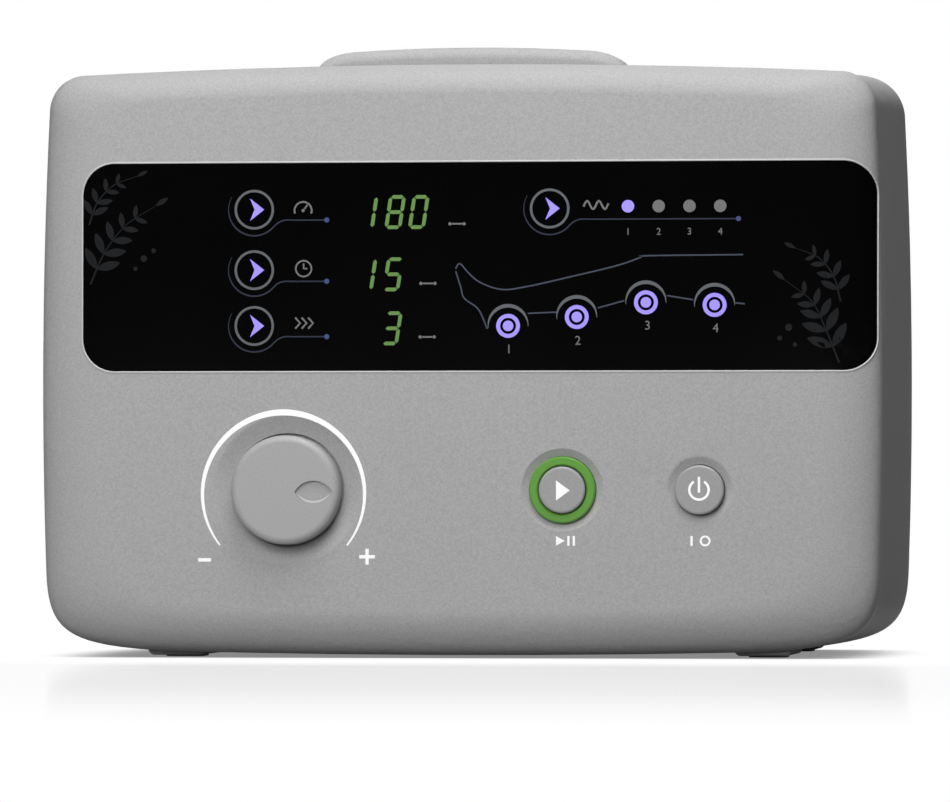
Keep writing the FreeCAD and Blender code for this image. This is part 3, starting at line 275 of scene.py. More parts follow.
def grey(level, warm=0.0):
    """Grey colour, with red raised and blue lowered by the share warm."""
    return (level * (1 + warm), level, level * (1 - warm), 1)


def paint(name, colour, speckle=0.16, rough=0.5, relief=0.25, scale=2600, smudge=0.1, **shader):
    """Finish with grain, for paint, plastic, rubber and glass."""
    return finish(name, "grain", {"Base": colour, "Scale": scale, "Speckle": speckle, "Roughness": rough,
                                  "Smudge": smudge, "Relief": relief}, **shader)


def metal(name, colour, rough=0.32, contrast=0.15, along=0.4, **shader):
    """Brushed finish of bare metal."""
    return finish(name, "brushed", {"Base": colour, "Along": along, "Contrast": contrast, "Roughness": rough},
                  Metallic=1.0, **shader)


def wound(name, colour, gap, pitch, rough, relief, **shader):
    """Striped finish, for wire, laminations and flat cable."""
    return finish(name, "stripes", {"Base": colour, "Gap": gap, "Pitch": pitch, "Roughness": rough,
                                    "Relief": relief}, **shader)


print("finish maker ready")

# %% [markdown]
# ## The finishes outside
# The casing is moulded plastic under a satin, fine-grained silver paint, and knob and
# buttons have a slightly glossier one. The window is gloss black acrylic. The rest of what
# shows is a green light ring, moulded black, rubber, steel and brass.

# %% Finishes outside
FINISHES = {
    "casing_silver": paint("casing_silver", grey(0.372), speckle=0.5, scale=1500, rough=0.6,
                           Specular_IOR_Level=0.04),
    "lens_black": paint("lens_black", grey(0.0016), speckle=0.1, rough=0.07, relief=0.0, smudge=0.03,
                        Specular_IOR_Level=0.4),
    "knob_silver": paint("knob_silver", grey(0.385), speckle=0.3, scale=1500, rough=0.5, Metallic=0.1,
                         Specular_IOR_Level=0.25),
    "button_silver": paint("button_silver", grey(0.335), speckle=0.3, scale=1500, rough=0.5, Metallic=0.1,
                           Specular_IOR_Level=0.25),
    "ring_green": paint("ring_green", (0.11, 0.30, 0.045, 1), speckle=0.05, rough=0.25, relief=0.05),
    "rubber_black": paint("rubber_black", grey(0.024), scale=1500, rough=0.85, relief=1.0),
    "screw_steel": metal("screw_steel", grey(0.45), rough=0.35),
    "port_black": paint("port_black", grey(0.022), scale=1800, rough=0.5, relief=0.8),
    "inlet_black": paint("inlet_black", grey(0.018), scale=1800, rough=0.42, relief=0.5),
    "pin_brass": metal("pin_brass", (0.74, 0.66, 0.42, 1), rough=0.25),
    "fan_black": paint("fan_black", grey(0.022), rough=0.5),
}
print(len(FINISHES), "finishes outside")

# %% [markdown]
# ## The finishes inside
# Inside are the plain materials of any appliance: solder-masked boards, galvanised sheet,
# cast aluminium, laminated cores, enamelled copper, rubber, foam and glass. They hardly
# show, but each tells what its piece is when the casing comes off.

# %% Finishes inside
FINISHES.update({
    "tape_black": paint("tape_black", grey(0.03), rough=0.9, relief=1.0),
    "board_green": paint("board_green", (0.02, 0.13, 0.06, 1), scale=900, rough=0.35, relief=0.4),
    "digit_grey": paint("digit_grey", grey(0.05), rough=0.5),
    "lamp_violet": paint("lamp_violet", (0.34, 0.26, 0.95, 1), rough=0.2, relief=0.05),
    "pad_foam": paint("pad_foam", grey(0.09), scale=1200, rough=0.95, relief=2.0),
    "shaft_steel": metal("shaft_steel", grey(0.55)),
    "encoder_case": metal("encoder_case", grey(0.5), rough=0.4),
    "nut_plated": metal("nut_plated", grey(0.7), rough=0.2),
    "switch_black": paint("switch_black", grey(0.03), rough=0.45),
    "plunger_white": paint("plunger_white", grey(0.72, 0.01), rough=0.4),
    "cast_aluminium": paint("cast_aluminium", grey(0.55), scale=1100, rough=0.55, relief=1.5, Metallic=0.9),
    "core_steel": wound("core_steel", grey(0.32), grey(0.10), 330, 0.5, 0.5, Metallic=0.8),
    "copper": wound("copper", (0.62, 0.25, 0.10, 1), (0.20, 0.06, 0.02, 1), 420, 0.35, 0.9, Metallic=0.85),
    "magnet": metal("magnet", grey(0.6), rough=0.18, contrast=0.08),
    "diaphragm_rubber": paint("diaphragm_rubber", grey(0.07), rough=0.8, relief=0.8),
    "head_black": paint("head_black", grey(0.035), scale=1400, rough=0.6, relief=0.8),
    "pipe_grey": paint("pipe_grey", grey(0.33), rough=0.55, relief=0.2),
    "manifold_white": paint("manifold_white", grey(0.70, 0.01), rough=0.42),
    "shelf_steel": paint("shelf_steel", grey(0.50), speckle=0.35, scale=160, rough=0.38, relief=0.1,
                         Metallic=0.95),
    "foam": paint("foam", grey(0.05), scale=700, speckle=0.8, rough=0.98, relief=6.0),
    "heat_sink": metal("heat_sink", grey(0.34), rough=0.42),
    "capacitor": paint("capacitor", (0.01, 0.018, 0.06, 1), rough=0.3),
    "fuse_glass": paint("fuse_glass", (0.82, 0.88, 0.86, 1), speckle=0.02, rough=0.05, relief=0.0,
                        Transmission_Weight=0.85, IOR=1.5),
    "ribbon_grey": wound("ribbon_grey", grey(0.45), grey(0.2), 400, 0.6, 0.4),
})
for name, node in nodes.items():
    node.data.materials.clear()
    node.data.materials.append(FINISHES[slots[name]])
print(len(FINISHES), "finishes on", len(nodes), "nodes")

# %% [markdown]
# ## Smooth shading for CAD triangles
# A CAD mesh arrives as loose triangles, so each one would shade flat. The mesh itself
# must stay as it is, so a modifier does the work on the fly: it merges corners that lie
# on each other, makes faces smooth and keeps an edge sharp where two faces meet at more
# than 28 degrees. A Weighted Normal modifier then lets the large flat faces rule the
# shading next to a rounded edge, which is how a moulded part catches light.

# %% Smoothing modifier
def build_smoothing():
    """Merge corners, shade smooth, then mark edges sharp where the angle is over 28 degrees."""
    tree = bpy.data.node_groups.new("smooth_cad", "GeometryNodeTree")
    tree.interface.new_socket("Geometry", in_out="INPUT", socket_type="NodeSocketGeometry")
    tree.interface.new_socket("Geometry", in_out="OUTPUT", socket_type="NodeSocketGeometry")
    begin, end = add(tree, "NodeGroupInput"), add(tree, "NodeGroupOutput", 900)
    merge = add(tree, "GeometryNodeMergeByDistance", 200, Distance=0.000004)
    faces = add(tree, "GeometryNodeSetShadeSmooth", 400)
    edges = add(tree, "GeometryNodeSetShadeSmooth", 700, domain="EDGE", Shade_Smooth=False)
    angle = add(tree, "GeometryNodeInputMeshEdgeAngle", 300, -200)
    sharp = add(tree, "ShaderNodeMath", 500, -200, operation="GREATER_THAN")
    sharp.inputs[1].default_value = math.radians(28)
    wire(tree, begin, "Geometry", merge, "Geometry")
    wire(tree, merge, "Geometry", faces, "Geometry")
    wire(tree, faces, "Geometry", edges, "Geometry")
    wire(tree, angle, "Unsigned Angle", sharp, 0)
    wire(tree, sharp, 0, edges, "Selection")
    wire(tree, edges, "Geometry", end, "Geometry")
    return tree


SMOOTHING = build_smoothing()
for node in nodes.values():
    node.modifiers.new("smooth", "NODES").node_group = SMOOTHING
    weighted = node.modifiers.new("weighted", "WEIGHTED_NORMAL")
    weighted.keep_sharp = True
print("smoothing on", len(nodes), "nodes")

# %% [markdown]
# ## New pieces
# A new piece is an array of points and a list of faces. `piece` makes a mesh of them, gives
# it a finish and lets it ride on a body of the pump, so that it moves as that body does.
# The slot is the name of the material that the piece counts as: its own if none is given.

# %% Piece maker
def piece(name, points, faces, material, body="housing", smooth=True):
    """Mesh of points in metres and faces, as an object that rides on a body."""
    mesh = bpy.data.meshes.new(name)
    mesh.from_pydata(np.asarray(points, float).tolist(), [], faces)
    mesh.polygons.foreach_set("use_smooth", np.full(len(mesh.polygons), smooth))
    mesh.materials.append(material)
    mesh.update()
    thing = bpy.data.objects.new(name, mesh)
    bpy.context.collection.objects.link(thing)
    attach(thing, body)
    return thing


print("piece maker ready")

# %% [markdown]
# ## Flat print shapes
# Everything printed on the window or the casing is a flat shape in millimetres, X across
# and Z up. A ribbon is a line with a width: each point is pushed to both sides along the
# line's normal. Rings, discs and polygons are made the same way, from arrays. Each shape
# lists its corners anticlockwise, so that it faces the viewer.

# %% Print shapes
def ribbon(line, half):
    """Left edge = p + n h, right edge = p - n h, with n the unit normal of the line."""
    line = np.asarray(line, float)
    half = np.broadcast_to(half, len(line))[:, None]
    along = np.gradient(line, axis=0)
    along /= np.linalg.norm(along, axis=1)[:, None]
    normal = np.stack([-along[:, 1], along[:, 0]], axis=1)
    points = np.stack([line + normal * half, line - normal * half], axis=1).reshape(-1, 2)
    first = 2 * np.arange(len(line) - 1)
    return points, np.stack([first, first + 1, first + 3, first + 2], axis=1).tolist()


def ring(x, z, inner, outer, count=56):
    """Two circles about one centre, joined by quads all the way round."""
    a = np.linspace(0, 2 * np.pi, count, endpoint=False)
    unit = np.stack([np.cos(a), np.sin(a)], axis=1)
    points = np.concatenate([unit * inner, unit * outer]) + (x, z)
    i = np.arange(count)
    j = (i + 1) % count
    return points, np.stack([i, i + count, j + count, j], axis=1).tolist()


def disc(x, z, r, count=36):
    """Circle (x + r cos a, z + r sin a) as one many-sided face."""
    a = np.linspace(0, 2 * np.pi, count, endpoint=False)
    return np.stack([x + r * np.cos(a), z + r * np.sin(a)], axis=1), [list(range(count))]


def polygon(corners):
    """One face with the given corners."""
    return np.asarray(corners, float), [list(range(len(corners)))]


def arc(x, z, r, start, stop, count=40):
    """Points on a circle between two angles in degrees."""
    a = np.radians(np.linspace(start, stop, count))
    return np.stack([x + r * np.cos(a), z + r * np.sin(a)], axis=1)


print("print shapes ready")

# %% [markdown]
# A print is all shapes of one ink, laid a few hundredths of a millimetre in front of the
# surface. The front is flat in the middle and rolls away towards its sides along a quarter
# ellipse, and the prints sink with it. Solidify gives a print a thickness, a share of its
# lift, so that it is a closed body and not a lone sheet.

# %% Print maker
MIDDLE_Z, HALF_HEIGHT, HALF_WIDTH, SIDE_TAPER = 103.5, 98.5, 156.2, 2.5
ROLL_WIDTH, ROLL_DEPTH = 24.0, 12.0
THICKNESS_PER_LIFT = 0.7


def casing_depth(x, z):
    """Depth of the front in mm: d (1 - sqrt(1 - u^2)), u = 1 - (distance from the side) / width."""
    side = HALF_WIDTH - SIDE_TAPER * ((z - MIDDLE_Z) / HALF_HEIGHT) ** 2
    u = np.clip(1 - (side - np.abs(x)) / ROLL_WIDTH, 0, 1)
    return ROLL_DEPTH * (1 - np.sqrt(1 - u ** 2))


def lay_print(name, shapes, material, lift=0.06, body="housing", y=None, back=False):
    """All shapes of one ink as one mesh, lift mm proud of the front, of a plane y or of the back."""
    points, faces, start = [], [], 0
    for flat, shape_faces in shapes:
        points.append(flat)
        faces += [[start + i for i in face] for face in shape_faces]
        start += len(flat)
    x, z = np.concatenate(points).T
    level = FRONT / MM + casing_depth(x, z) if y is None else np.full(len(x), y / MM)
    if back:
        x, level = -x, np.full(len(x), BACK / MM + 2 * lift)
    points = np.stack([x, level - lift, z], axis=1) * MM
    sheet = piece(name, points, faces, material, body, smooth=False)
    solid = sheet.modifiers.new("ink", "SOLIDIFY")
    solid.thickness, solid.offset = lift * MM * THICKNESS_PER_LIFT, -1
    print(name, len(shapes), "shapes,", len(faces), "faces")


print("the front rolls back by", ROLL_DEPTH, "mm at its sides")

# %% [markdown]
# ## Inks
# The window's marks are faint greys and blues, and only what is lit is bright. A lit mark glows a little in
# its own colour, far less than a lamp does, so that it reads as lit and still keeps its hue. White print has
# a trace of the same glow although nothing lights it, a painted brightness that keeps it clear on silver.

# %% Inks
def ink(name, colour, glow=0.0):
    """Ink: fine grain, and with a glow above 0 also light of its own colour."""
    material = paint(name, colour, speckle=0.08, rough=0.35, relief=0.1, scale=1800, Specular_IOR_Level=0.2)
    if glow:
        principled = next(n for n in material.node_tree.nodes if n.type == "BSDF_PRINCIPLED")
        principled.inputs["Emission Strength"].default_value = glow
        group = next(n for n in material.node_tree.nodes if n.type == "GROUP")
        wire(material.node_tree, group, "Colour", principled, "Emission Color")
    return material


INKS = {
    "violet": ink("ink_violet", (0.34, 0.27, 0.95, 1), 0.15),
    "green": ink("ink_green", (0.10, 0.20, 0.055, 1), 0.3),
    "ring": ink("ink_ring", (0.115, 0.125, 0.135, 1)),
    "grey": ink("ink_grey", grey(0.16)),
    "line": ink("ink_line", (0.026, 0.030, 0.050, 1)),
    "dot": ink("ink_dot", (0.05, 0.075, 0.20, 1)),
    "limb": ink("ink_limb", (0.055, 0.065, 0.095, 1)),
    "shade": ink("ink_shade", (0.0085, 0.0092, 0.0108, 1)),
    # white glows faintly: painted light, since the white print is no lamp
    "white": ink("ink_white_painted_glow", grey(0.95), 0.05),
    "black": ink("ink_black", grey(0.004)),
    # glint is a light grey for the painted highlight on the knob's dimple lip
    "glint": ink("painted_highlight_glint", grey(0.60)),
    "plate": ink("ink_plate", grey(0.55)),
}
print(len(INKS), "inks")

# %% [markdown]
# ## The display's prints
# The window shows three rows: pressure, time and speed. Each row has a round touch key
# with an arrowhead and a thin guide line that ends in a dot, and a fourth key chooses the
# mode. A guide line starts as an arc round its key and swings into a level line: the bend
# is a Catmull-Rom curve, which passes through the points it is given.

# %% Keys and guide lines
KEYS = [(-75.2, 165.4), (-75.2, 143.1), (-75.2, 122.5), (34.5, 165.4)]
GUIDE_ENDS = [(-48.2, 161.5), (-48.2, 138.9), (-48.2, 118.5), (104.1, 161.4)]
KEY_INNER, KEY_OUTER, DOT_R = 6.45, 7.35, 0.95
GUIDE_R, GUIDE_FROM, GUIDE_TO, LEVEL_FROM = 9.6, 150, 318, 15.0
START_HALF, WIDEST_HALF, END_HALF, WIDEST_STEP = 0.10, 0.30, 0.26, 20
ARROWHEAD = ((-1.6, -4.15), (3.7, 0), (-1.6, 4.15), (0.1, 0))


def smooth_line(points, count):
    """Points along a Catmull-Rom curve through the given ones."""
    p = np.asarray(points, float)
    p = np.vstack([2 * p[0] - p[1], p, 2 * p[-1] - p[-2]])
    s = np.linspace(0, len(p) - 3 - 1e-9, count)
    k = s.astype(int)
    t = (s - k)[:, None]
    a, b, c, d = p[k], p[k + 1], p[k + 2], p[k + 3]
    square, cube = 2 * a - 5 * b + 4 * c - d, 3 * b - 3 * c + d - a
    return 0.5 * (2 * b + (c - a) * t + square * t ** 2 + cube * t ** 3)


def guide(x, z, end_x, line_z):
    """Arc round the left and lower side of a key, a bend and a level line, as one ribbon."""
    low = arc(x, z, GUIDE_R, GUIDE_FROM, GUIDE_TO, 44)
    level = (x + LEVEL_FROM, line_z)
    bend = smooth_line([low[-1], (x + 8.9, z - 4.9), (x + 11.4, line_z), level], 24)
    path = np.concatenate([low[:-1], bend[:-2], [level, (end_x, line_z)]])
    steps = [0, WIDEST_STEP, len(path) - 1]
    return ribbon(path, np.interp(np.arange(len(path)), steps, [START_HALF, WIDEST_HALF, END_HALF]))


rings = [ring(x, z, KEY_INNER, KEY_OUTER) for x, z in KEYS]
arrows = [polygon([(x + i, z + j) for i, j in ARROWHEAD]) for x, z in KEYS]
lay_print("print_key_rings", rings, INKS["ring"])
lay_print("print_key_arrows", arrows, INKS["violet"])
guides = [guide(*key, *end) for key, end in zip(KEYS, GUIDE_ENDS)]
dots = [disc(*end, DOT_R) for end in GUIDE_ENDS]
lay_print("print_guide_lines", guides, INKS["line"])
lay_print("print_guide_dots", dots, INKS["dot"], lift=0.09)

# %% [markdown]
# A lit digit has seven bars. Each bar is a six-cornered strip with pointed ends, so the
# bars meet in thin mitred gaps, and the whole digit leans over by about nine degrees.

# %% Lit digits
BARS = {"0": "abcdef", "1": "bc", "3": "abgcd", "5": "afgcd", "8": "abcdefg"}
READINGS = [("180", 164.3, (-33.0, -22.75, -14.0)),
            ("15", 141.4, (-33.4, -23.5)),
            ("3", 121.5, (-24.0,))]


def digit(figure, x, z, width=6.3, height=12.5, stroke=1.35, lean=0.15, gap=0.16):
    """Seven bars of a digit: each is a strip with points at both ends, then x += lean (z - z0)."""
    h, w, s = height / 2 - stroke / 2, width / 2 - stroke / 2, stroke / 2
    ends = {"a": ((-w, h), (w, h)), "b": ((w, h), (w, 0)), "c": ((w, 0), (w, -h)), "d": ((-w, -h), (w, -h)),
            "e": ((-w, 0), (-w, -h)), "f": ((-w, h), (-w, 0)), "g": ((-w, 0), (w, 0))}
    shapes = []
    for bar in BARS[figure]:
        a, b = (np.array(end, float) for end in ends[bar])
        along = (b - a) / np.linalg.norm(b - a)
        side = np.array([-along[1], along[0]]) * s
        a, b = a + along * gap, b - along * gap
        corners = np.array([a, a + along * s - side, b - along * s - side, b, b - along * s + side,
                            a + along * s + side])
        corners[:, 0] += lean * corners[:, 1] + x
        corners[:, 1] += z
        shapes.append(polygon(corners))
    return shapes


figures = []
for text, z, centres in READINGS:
    for figure, x in zip(text, centres):
        figures += digit(figure, x, z)
lay_print("print_digits", figures, INKS["green"])

# %% [markdown]
# Words are left off the window: small icons stand in their places. A dial with a needle is
# for pressure, a clock for time, chevrons for speed and a wave for the mode. A short bar
# follows each reading, and lamps and chambers have plain numbers from Blender's own font.

# %% Icons and numbers
LAMP_NUMBER_X, LAMP_NUMBER_Z = (63.4, 74.73, 86.06, 97.4), 156.9
UNIT_SPOTS = ((0.2, 159.9), (-10.6, 138.0), (-10.9, 118.3))
CHAMBER_NUMBERS = ((19.4, 113.9), (44.9, 117.0), (70.6, 122.5), (95.7, 121.5))
LAMP_NUMBER_HEIGHT, CHAMBER_NUMBER_HEIGHT, SIZE_PER_HEIGHT = 2.6, 3.4, 1.38


def gauge(x, z):
    """Dial of 220 degrees with a needle and its pivot."""
    return [ribbon(arc(x, z, 3.2, -20, 200), 0.32), ribbon([(x + 0.5, z + 0.6), (x + 1.6, z + 2.1)], 0.3),
            disc(x, z, 0.6)]


def clock(x, z):
    """Round face with one bent hand."""
    return [ring(x, z, 2.6, 3.2), ribbon([(x, z + 1.9), (x, z), (x + 1.4, z)], 0.3)]


def chevrons(x, z):
    """Three arrowheads in a row."""
    return [ribbon([(x + i - 0.9, z + 2.0), (x + i + 0.9, z), (x + i - 0.9, z - 2.0)], 0.36)
            for i in (-2.2, 0.2, 2.6)]


def wave(x, z):
    """Sine line: z + 1.5 sin(1.45 t) at x + t."""
    t = np.linspace(-4.6, 4.6, 40)
    return [ribbon(np.stack([x + t, z + 1.5 * np.sin(1.45 * t)], 1), 0.36)]


def unit_bar(x, z):
    """Short bar with a dot at each end."""
    return [ribbon([(x - 1.9, z), (x + 1.9, z)], 0.3), disc(x - 2.6, z, 0.6), disc(x + 2.6, z, 0.6)]


def lettering(text, x, z, height):
    """Numbers in Blender's own font, whose size is 1.38 heights, as a mesh centred on (x, z)."""
    curve = bpy.data.curves.new("numbers", "FONT")
    curve.body, curve.align_x, curve.size, curve.resolution_u = text, "CENTER", height * SIZE_PER_HEIGHT, 5
    holder = bpy.data.objects.new("numbers", curve)
    mesh = bpy.data.meshes.new_from_object(holder)
    flat = np.empty(len(mesh.vertices) * 3)
    mesh.vertices.foreach_get("co", flat)
    faces = [list(f.vertices) for f in mesh.polygons]
    bpy.data.objects.remove(holder)
    bpy.data.curves.remove(curve)
    bpy.data.meshes.remove(mesh)
    return flat.reshape(-1, 3)[:, :2] + (x, z - height / 2), faces


marks = gauge(-57.0, 165.0) + clock(-56.8, 143.6) + chevrons(-56.8, 123.5) + wave(51.6, 166.6)
for spot in UNIT_SPOTS:
    marks += unit_bar(*spot)
for i, x in enumerate(LAMP_NUMBER_X):
    marks.append(lettering(str(i + 1), x, LAMP_NUMBER_Z, LAMP_NUMBER_HEIGHT))
for i, (x, z) in enumerate(CHAMBER_NUMBERS):
    marks.append(lettering(str(i + 1), x, z, CHAMBER_NUMBER_HEIGHT))
lay_print("print_icons", marks, INKS["grey"])

# %% [markdown]
# The mode lamps are round dots, the first one lit. Each chamber of the sleeve has a touch
# spot: a violet ring, a dark gap and a dot, under a crescent that is widest at its top and
# runs out to a hair's width, because its half width follows a sine.

# %% Lamps and chambers
CHAMBERS = [(19.1, 122.3), (44.5, 125.5), (70.0, 130.8), (95.3, 129.8)]
SPOT_R, SPOT_INNER, SPOT_OUTER, CRESCENT_R = 1.95, 2.95, 4.4, 7.4
LAMP_X, LAMP_Z, LAMP_STEP, LAMP_R = 63.4, 166.1, 11.33, 2.3
lit, *unlit = [disc(LAMP_X + LAMP_STEP * i, LAMP_Z, LAMP_R) for i in range(4)]
lay_print("print_lamp_lit", [lit], INKS["violet"])
lay_print("print_lamps_off", unlit, INKS["grey"])
spots = []
for x, z in CHAMBERS:
    spots += [ring(x, z, SPOT_INNER, SPOT_OUTER), disc(x, z, SPOT_R)]
lay_print("print_chambers", spots, INKS["violet"])
swell = 0.62 * np.sin(np.linspace(0.04, math.pi - 0.04, 56)) + 0.05
crescents = [ribbon(arc(x, z, CRESCENT_R, 186, -2, 56), swell) for x, z in CHAMBERS]
lay_print("print_crescents", crescents, INKS["ring"])

# %% [markdown]
# A plain outline shows which part of a leg each chamber presses. It is one flowing line
# above, another round the foot, and short pieces between the crescents, all of one width.

# %% Limb outline
LIMB_HALF = 0.27
ABOVE = [(-0.4, 143.4), (1.3, 145.2), (4.4, 141.9), (8.8, 138.3), (16.8, 135.7), (26.4, 136.8),
         (41, 140), (59.2, 144.3), (67.8, 147.2), (70.9, 147.9), (105.8, 148.2)]
FOOT = [(-0.3, 142.5), (1.5, 136.8), (2.9, 132.5), (8.1, 128.4), (11.4, 121.2)]
BETWEEN = (((26.4, 126.9), (37, 127.3)), ((52.3, 128.8), (62.1, 131.5)), ((77.7, 133.3), (87.4, 131.7)),
           ((102.9, 130.5), (106.4, 130.2)))
outlines = [smooth_line(ABOVE, 110), smooth_line(FOOT, 50), *BETWEEN]
lay_print("print_limb", [ribbon(line, LIMB_HALF) for line in outlines], INKS["limb"])

# %% [markdown]
# Faint leaf sprigs fill the two ends of the window, dark grey on black. They are a plain
# ornament of this lesson's own: a curved stem, pairs of pointed leaves and a few berries.

# %% Leaf sprigs
WIDTH_PER_LENGTH = 0.36


def leaf(x, z, length, width, angle, count=24):
    """Pointed leaf: half width w sin(pi t)^0.8 along a straight midrib, turned by an angle."""
    t = np.linspace(0.0, 1.0, count)
    half = width / 2 * np.clip(np.sin(np.pi * t), 0, 1) ** 0.8
    there, back = np.stack([t * length, -half], 1), np.stack([t * length, half], 1)[-2:0:-1]
    c, s = math.cos(math.radians(angle)), math.sin(math.radians(angle))
    return polygon(np.concatenate([there, back]) @ np.array([[c, s], [-s, c]]) + (x, z))


def sprig(points, sizes, lean):
    """Stem along a smooth line, with a leaf on each side at even steps and one at its tip."""
    stem = smooth_line(points, 40)
    shapes = [ribbon(stem, np.linspace(0.34, 0.1, 40))]
    for i, size in enumerate(sizes):
        k = 6 + int(i * 30 / len(sizes))
        dx, dz = stem[k + 1] - stem[k]
        heading = math.degrees(math.atan2(dz, dx))
        for side in (1, -1):
            shapes.append(leaf(*stem[k], size, size * WIDTH_PER_LENGTH, heading + side * lean))
    shapes.append(leaf(*stem[-1], sizes[-1] * 1.1, sizes[-1] * WIDTH_PER_LENGTH, heading))
    return shapes


LEFT_BERRIES = ((-116.5, 147.5, 1.2), (-112.8, 150.4, 0.9), (-119.6, 143.8, 0.8))
RIGHT_BERRIES = ((122.5, 121.5, 1.3), (119.2, 117.6, 0.95), (124.8, 115.2, 0.8))
art = sprig([(-136.5, 138), (-131, 150), (-123, 160), (-112, 167)], (9, 8.5, 7.5, 6, 5), 52)
art += sprig([(-137, 160), (-134, 168), (-128, 174.5), (-119, 178)], (6.5, 6, 5, 4), 48)
art += [disc(*berry) for berry in LEFT_BERRIES]
art += sprig([(141, 108.5), (136, 121), (131, 131), (121, 139)], (10, 9.5, 8, 6.5, 5), 50)
art += sprig([(141.5, 131), (139, 140), (133.5, 147), (125, 150.5)], (7, 6.5, 5.5, 4.2), 50)
art += [disc(*berry) for berry in RIGHT_BERRIES]
lay_print("print_sprigs", art, INKS["shade"], lift=0.04)

# %% [markdown]
# ## Prints on the casing
# A white arc swells over the knob between a small minus and a plus. Below the buttons stand
# a play-and-pause mark and an on-and-off mark. All of it is one white ink, so it is laid as
# one mesh.

# %% Casing prints
SCALE_CENTRE, SCALE_R, SCALE_FROM, SCALE_TO, SCALE_STEPS = (-64.3, 60.4), 30.2, 218.5, -38.5, 90
SWELL_AT, SWELL_HALF = (-1, -0.55, 0, 0.55, 1), (0.32, 0.75, 1.15, 0.75, 0.32)
MINUS, PLUS, PLAY_MARK, ON_MARK = (-93.7, 36.2), (-33.2, 37.4), (40.2, 43.3), (90.2, 43.3)


def plus_sign(x, z, half, reach):
    """Twelve corners of a plus whose arms are 2 half thick and reach out from its centre."""
    h, r = half, reach
    corners = ((-r, -h), (-h, -h), (-h, -r), (h, -r), (h, -h), (r, -h), (r, h), (h, h), (h, r), (-h, r),
               (-h, h), (-r, h))
    return polygon([(x + i, z + j) for i, j in corners])


def upright(x, z):
    """Short upright bar."""
    return ribbon([(x, z - 1.8), (x, z + 1.8)], 0.42)


sweep = arc(*SCALE_CENTRE, SCALE_R, SCALE_FROM, SCALE_TO, SCALE_STEPS)
swell = np.interp(np.linspace(-1, 1, SCALE_STEPS), SWELL_AT, SWELL_HALF)
x, z = MINUS
white = [ribbon(sweep, swell), ribbon([(x - 2.4, z), (x + 2.4, z)], 0.65), plus_sign(*PLUS, 0.62, 2.9)]
x, z = PLAY_MARK
white.append(polygon([(x - 3.4, z - 1.8), (x - 0.2, z), (x - 3.4, z + 1.8)]))
white += [upright(x + 1.2, z), upright(x + 3.2, z)]
x, z = ON_MARK
white += [upright(x - 3.4, z), ring(x + 1.6, z, 1.25, 2.0)]
lay_print("print_casing_white", white, INKS["white"])

# %% [markdown]
# The two push buttons carry a play triangle and a power sign. These prints ride on the
# buttons' own bodies, and go in with them when a button is pressed.

# %% Button signs
POWER_X, POWER_Z, POWER_R = 89.7, 62.0, 3.55
triangle = polygon([(37.0, 58.1), (42.1, 61.8), (37.0, 65.5)])
lay_print("print_start_triangle", [triangle], INKS["white"], body="start_button",
          y=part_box("start_button")[0][1])
sign = [ribbon(arc(POWER_X, POWER_Z, POWER_R, 122, 418, 48), 0.45)]
sign.append(ribbon([(POWER_X, 61.0), (POWER_X, 66.8)], 0.45))
lay_print("print_power_sign", sign, INKS["white"], body="power_button",
          y=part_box("power_button")[0][1])

# %% [markdown]
# The knob has a leaf-shaped dimple for a finger tip. A thin light crescent along its lower edge is a painted
# highlight, where the real one catches the light, and it turns with the knob.

# %% Painted highlight on the dimple lip
LIP_CENTRE, LIP_R, LIP_FROM, LIP_TO, LIP_STEPS = (-52.2, 65.2), 7.6, -147, -33, 48
LIP_LIFT = 0.03
swell = 0.33 * np.sin(np.linspace(0.1, math.pi - 0.1, LIP_STEPS)) + 0.02
lip = ribbon(arc(*LIP_CENTRE, LIP_R, LIP_FROM, LIP_TO, LIP_STEPS), swell)
# Painted highlight: a light grey crescent laid on the dimple's lower edge
lay_print("painted_highlight_dimple_lip", [lip], INKS["glint"], body="knob", y=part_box("knob")[0][1] + 0.05 * MM,
          lift=LIP_LIFT)

# %% [markdown]
# On the back, the outlets have plain numbers, and a blank plate with a thin frame and empty
# ruled fields stands where a maker's data would be. Back shapes are drawn as seen from
# behind, and the print maker turns their X round.

# %% Back prints
LEFT, RIGHT, LOW, HIGH = -26, 26, 148, 178
RULES = (170, 164, 158)
OUTLET_X, OUTLET_NUMBER_Z, OUTLET_NUMBER_HEIGHT = (19, 36, 53, 70), 134.5, 4.2
plate = polygon([(LEFT, LOW), (RIGHT, LOW), (RIGHT, HIGH), (LEFT, HIGH)])
lay_print("print_back_plate", [plate], INKS["plate"], back=True)
fields = [ribbon([(LEFT + 2, z), (RIGHT - 2, z)], 0.2) for z in (LOW + 2, HIGH - 2)]
fields += [ribbon([(x, LOW + 2.2), (x, HIGH - 2.2)], 0.2) for x in (LEFT + 2.2, RIGHT - 2.2)]
fields += [ribbon([(LEFT + 2.4, z), (RIGHT - 2.4, z)], 0.15) for z in RULES]
lay_print("print_back_fields", fields, INKS["black"], back=True, lift=0.09)
numbers = []
for i, x in enumerate(OUTLET_X):
    numbers.append(lettering(str(i + 1), x, OUTLET_NUMBER_Z, OUTLET_NUMBER_HEIGHT))
lay_print("print_back_numbers", numbers, INKS["white"], back=True)

# %% [markdown]
# ## Bead round the window
# The casing's cut-out has a fine raised edge that catches the light. Its silver is lighter than the casing's,
# a painted highlight on top of the real relief. It is a small round profile carried along the window's
# rounded outline, as one closed grid of points. Where the casing curves away at both ends, most at the right
# one, the bead sinks with it.

# %% Window bead
CORNER_R, STEP, SIDES = 12, 1.0, 12
BEAD_HALF_WIDTH, BEAD_HEIGHT, BEAD_OUT = 0.34, 0.26, 0.2
WINDOW = (-139.4, 154.5, 105.7, 182.7)


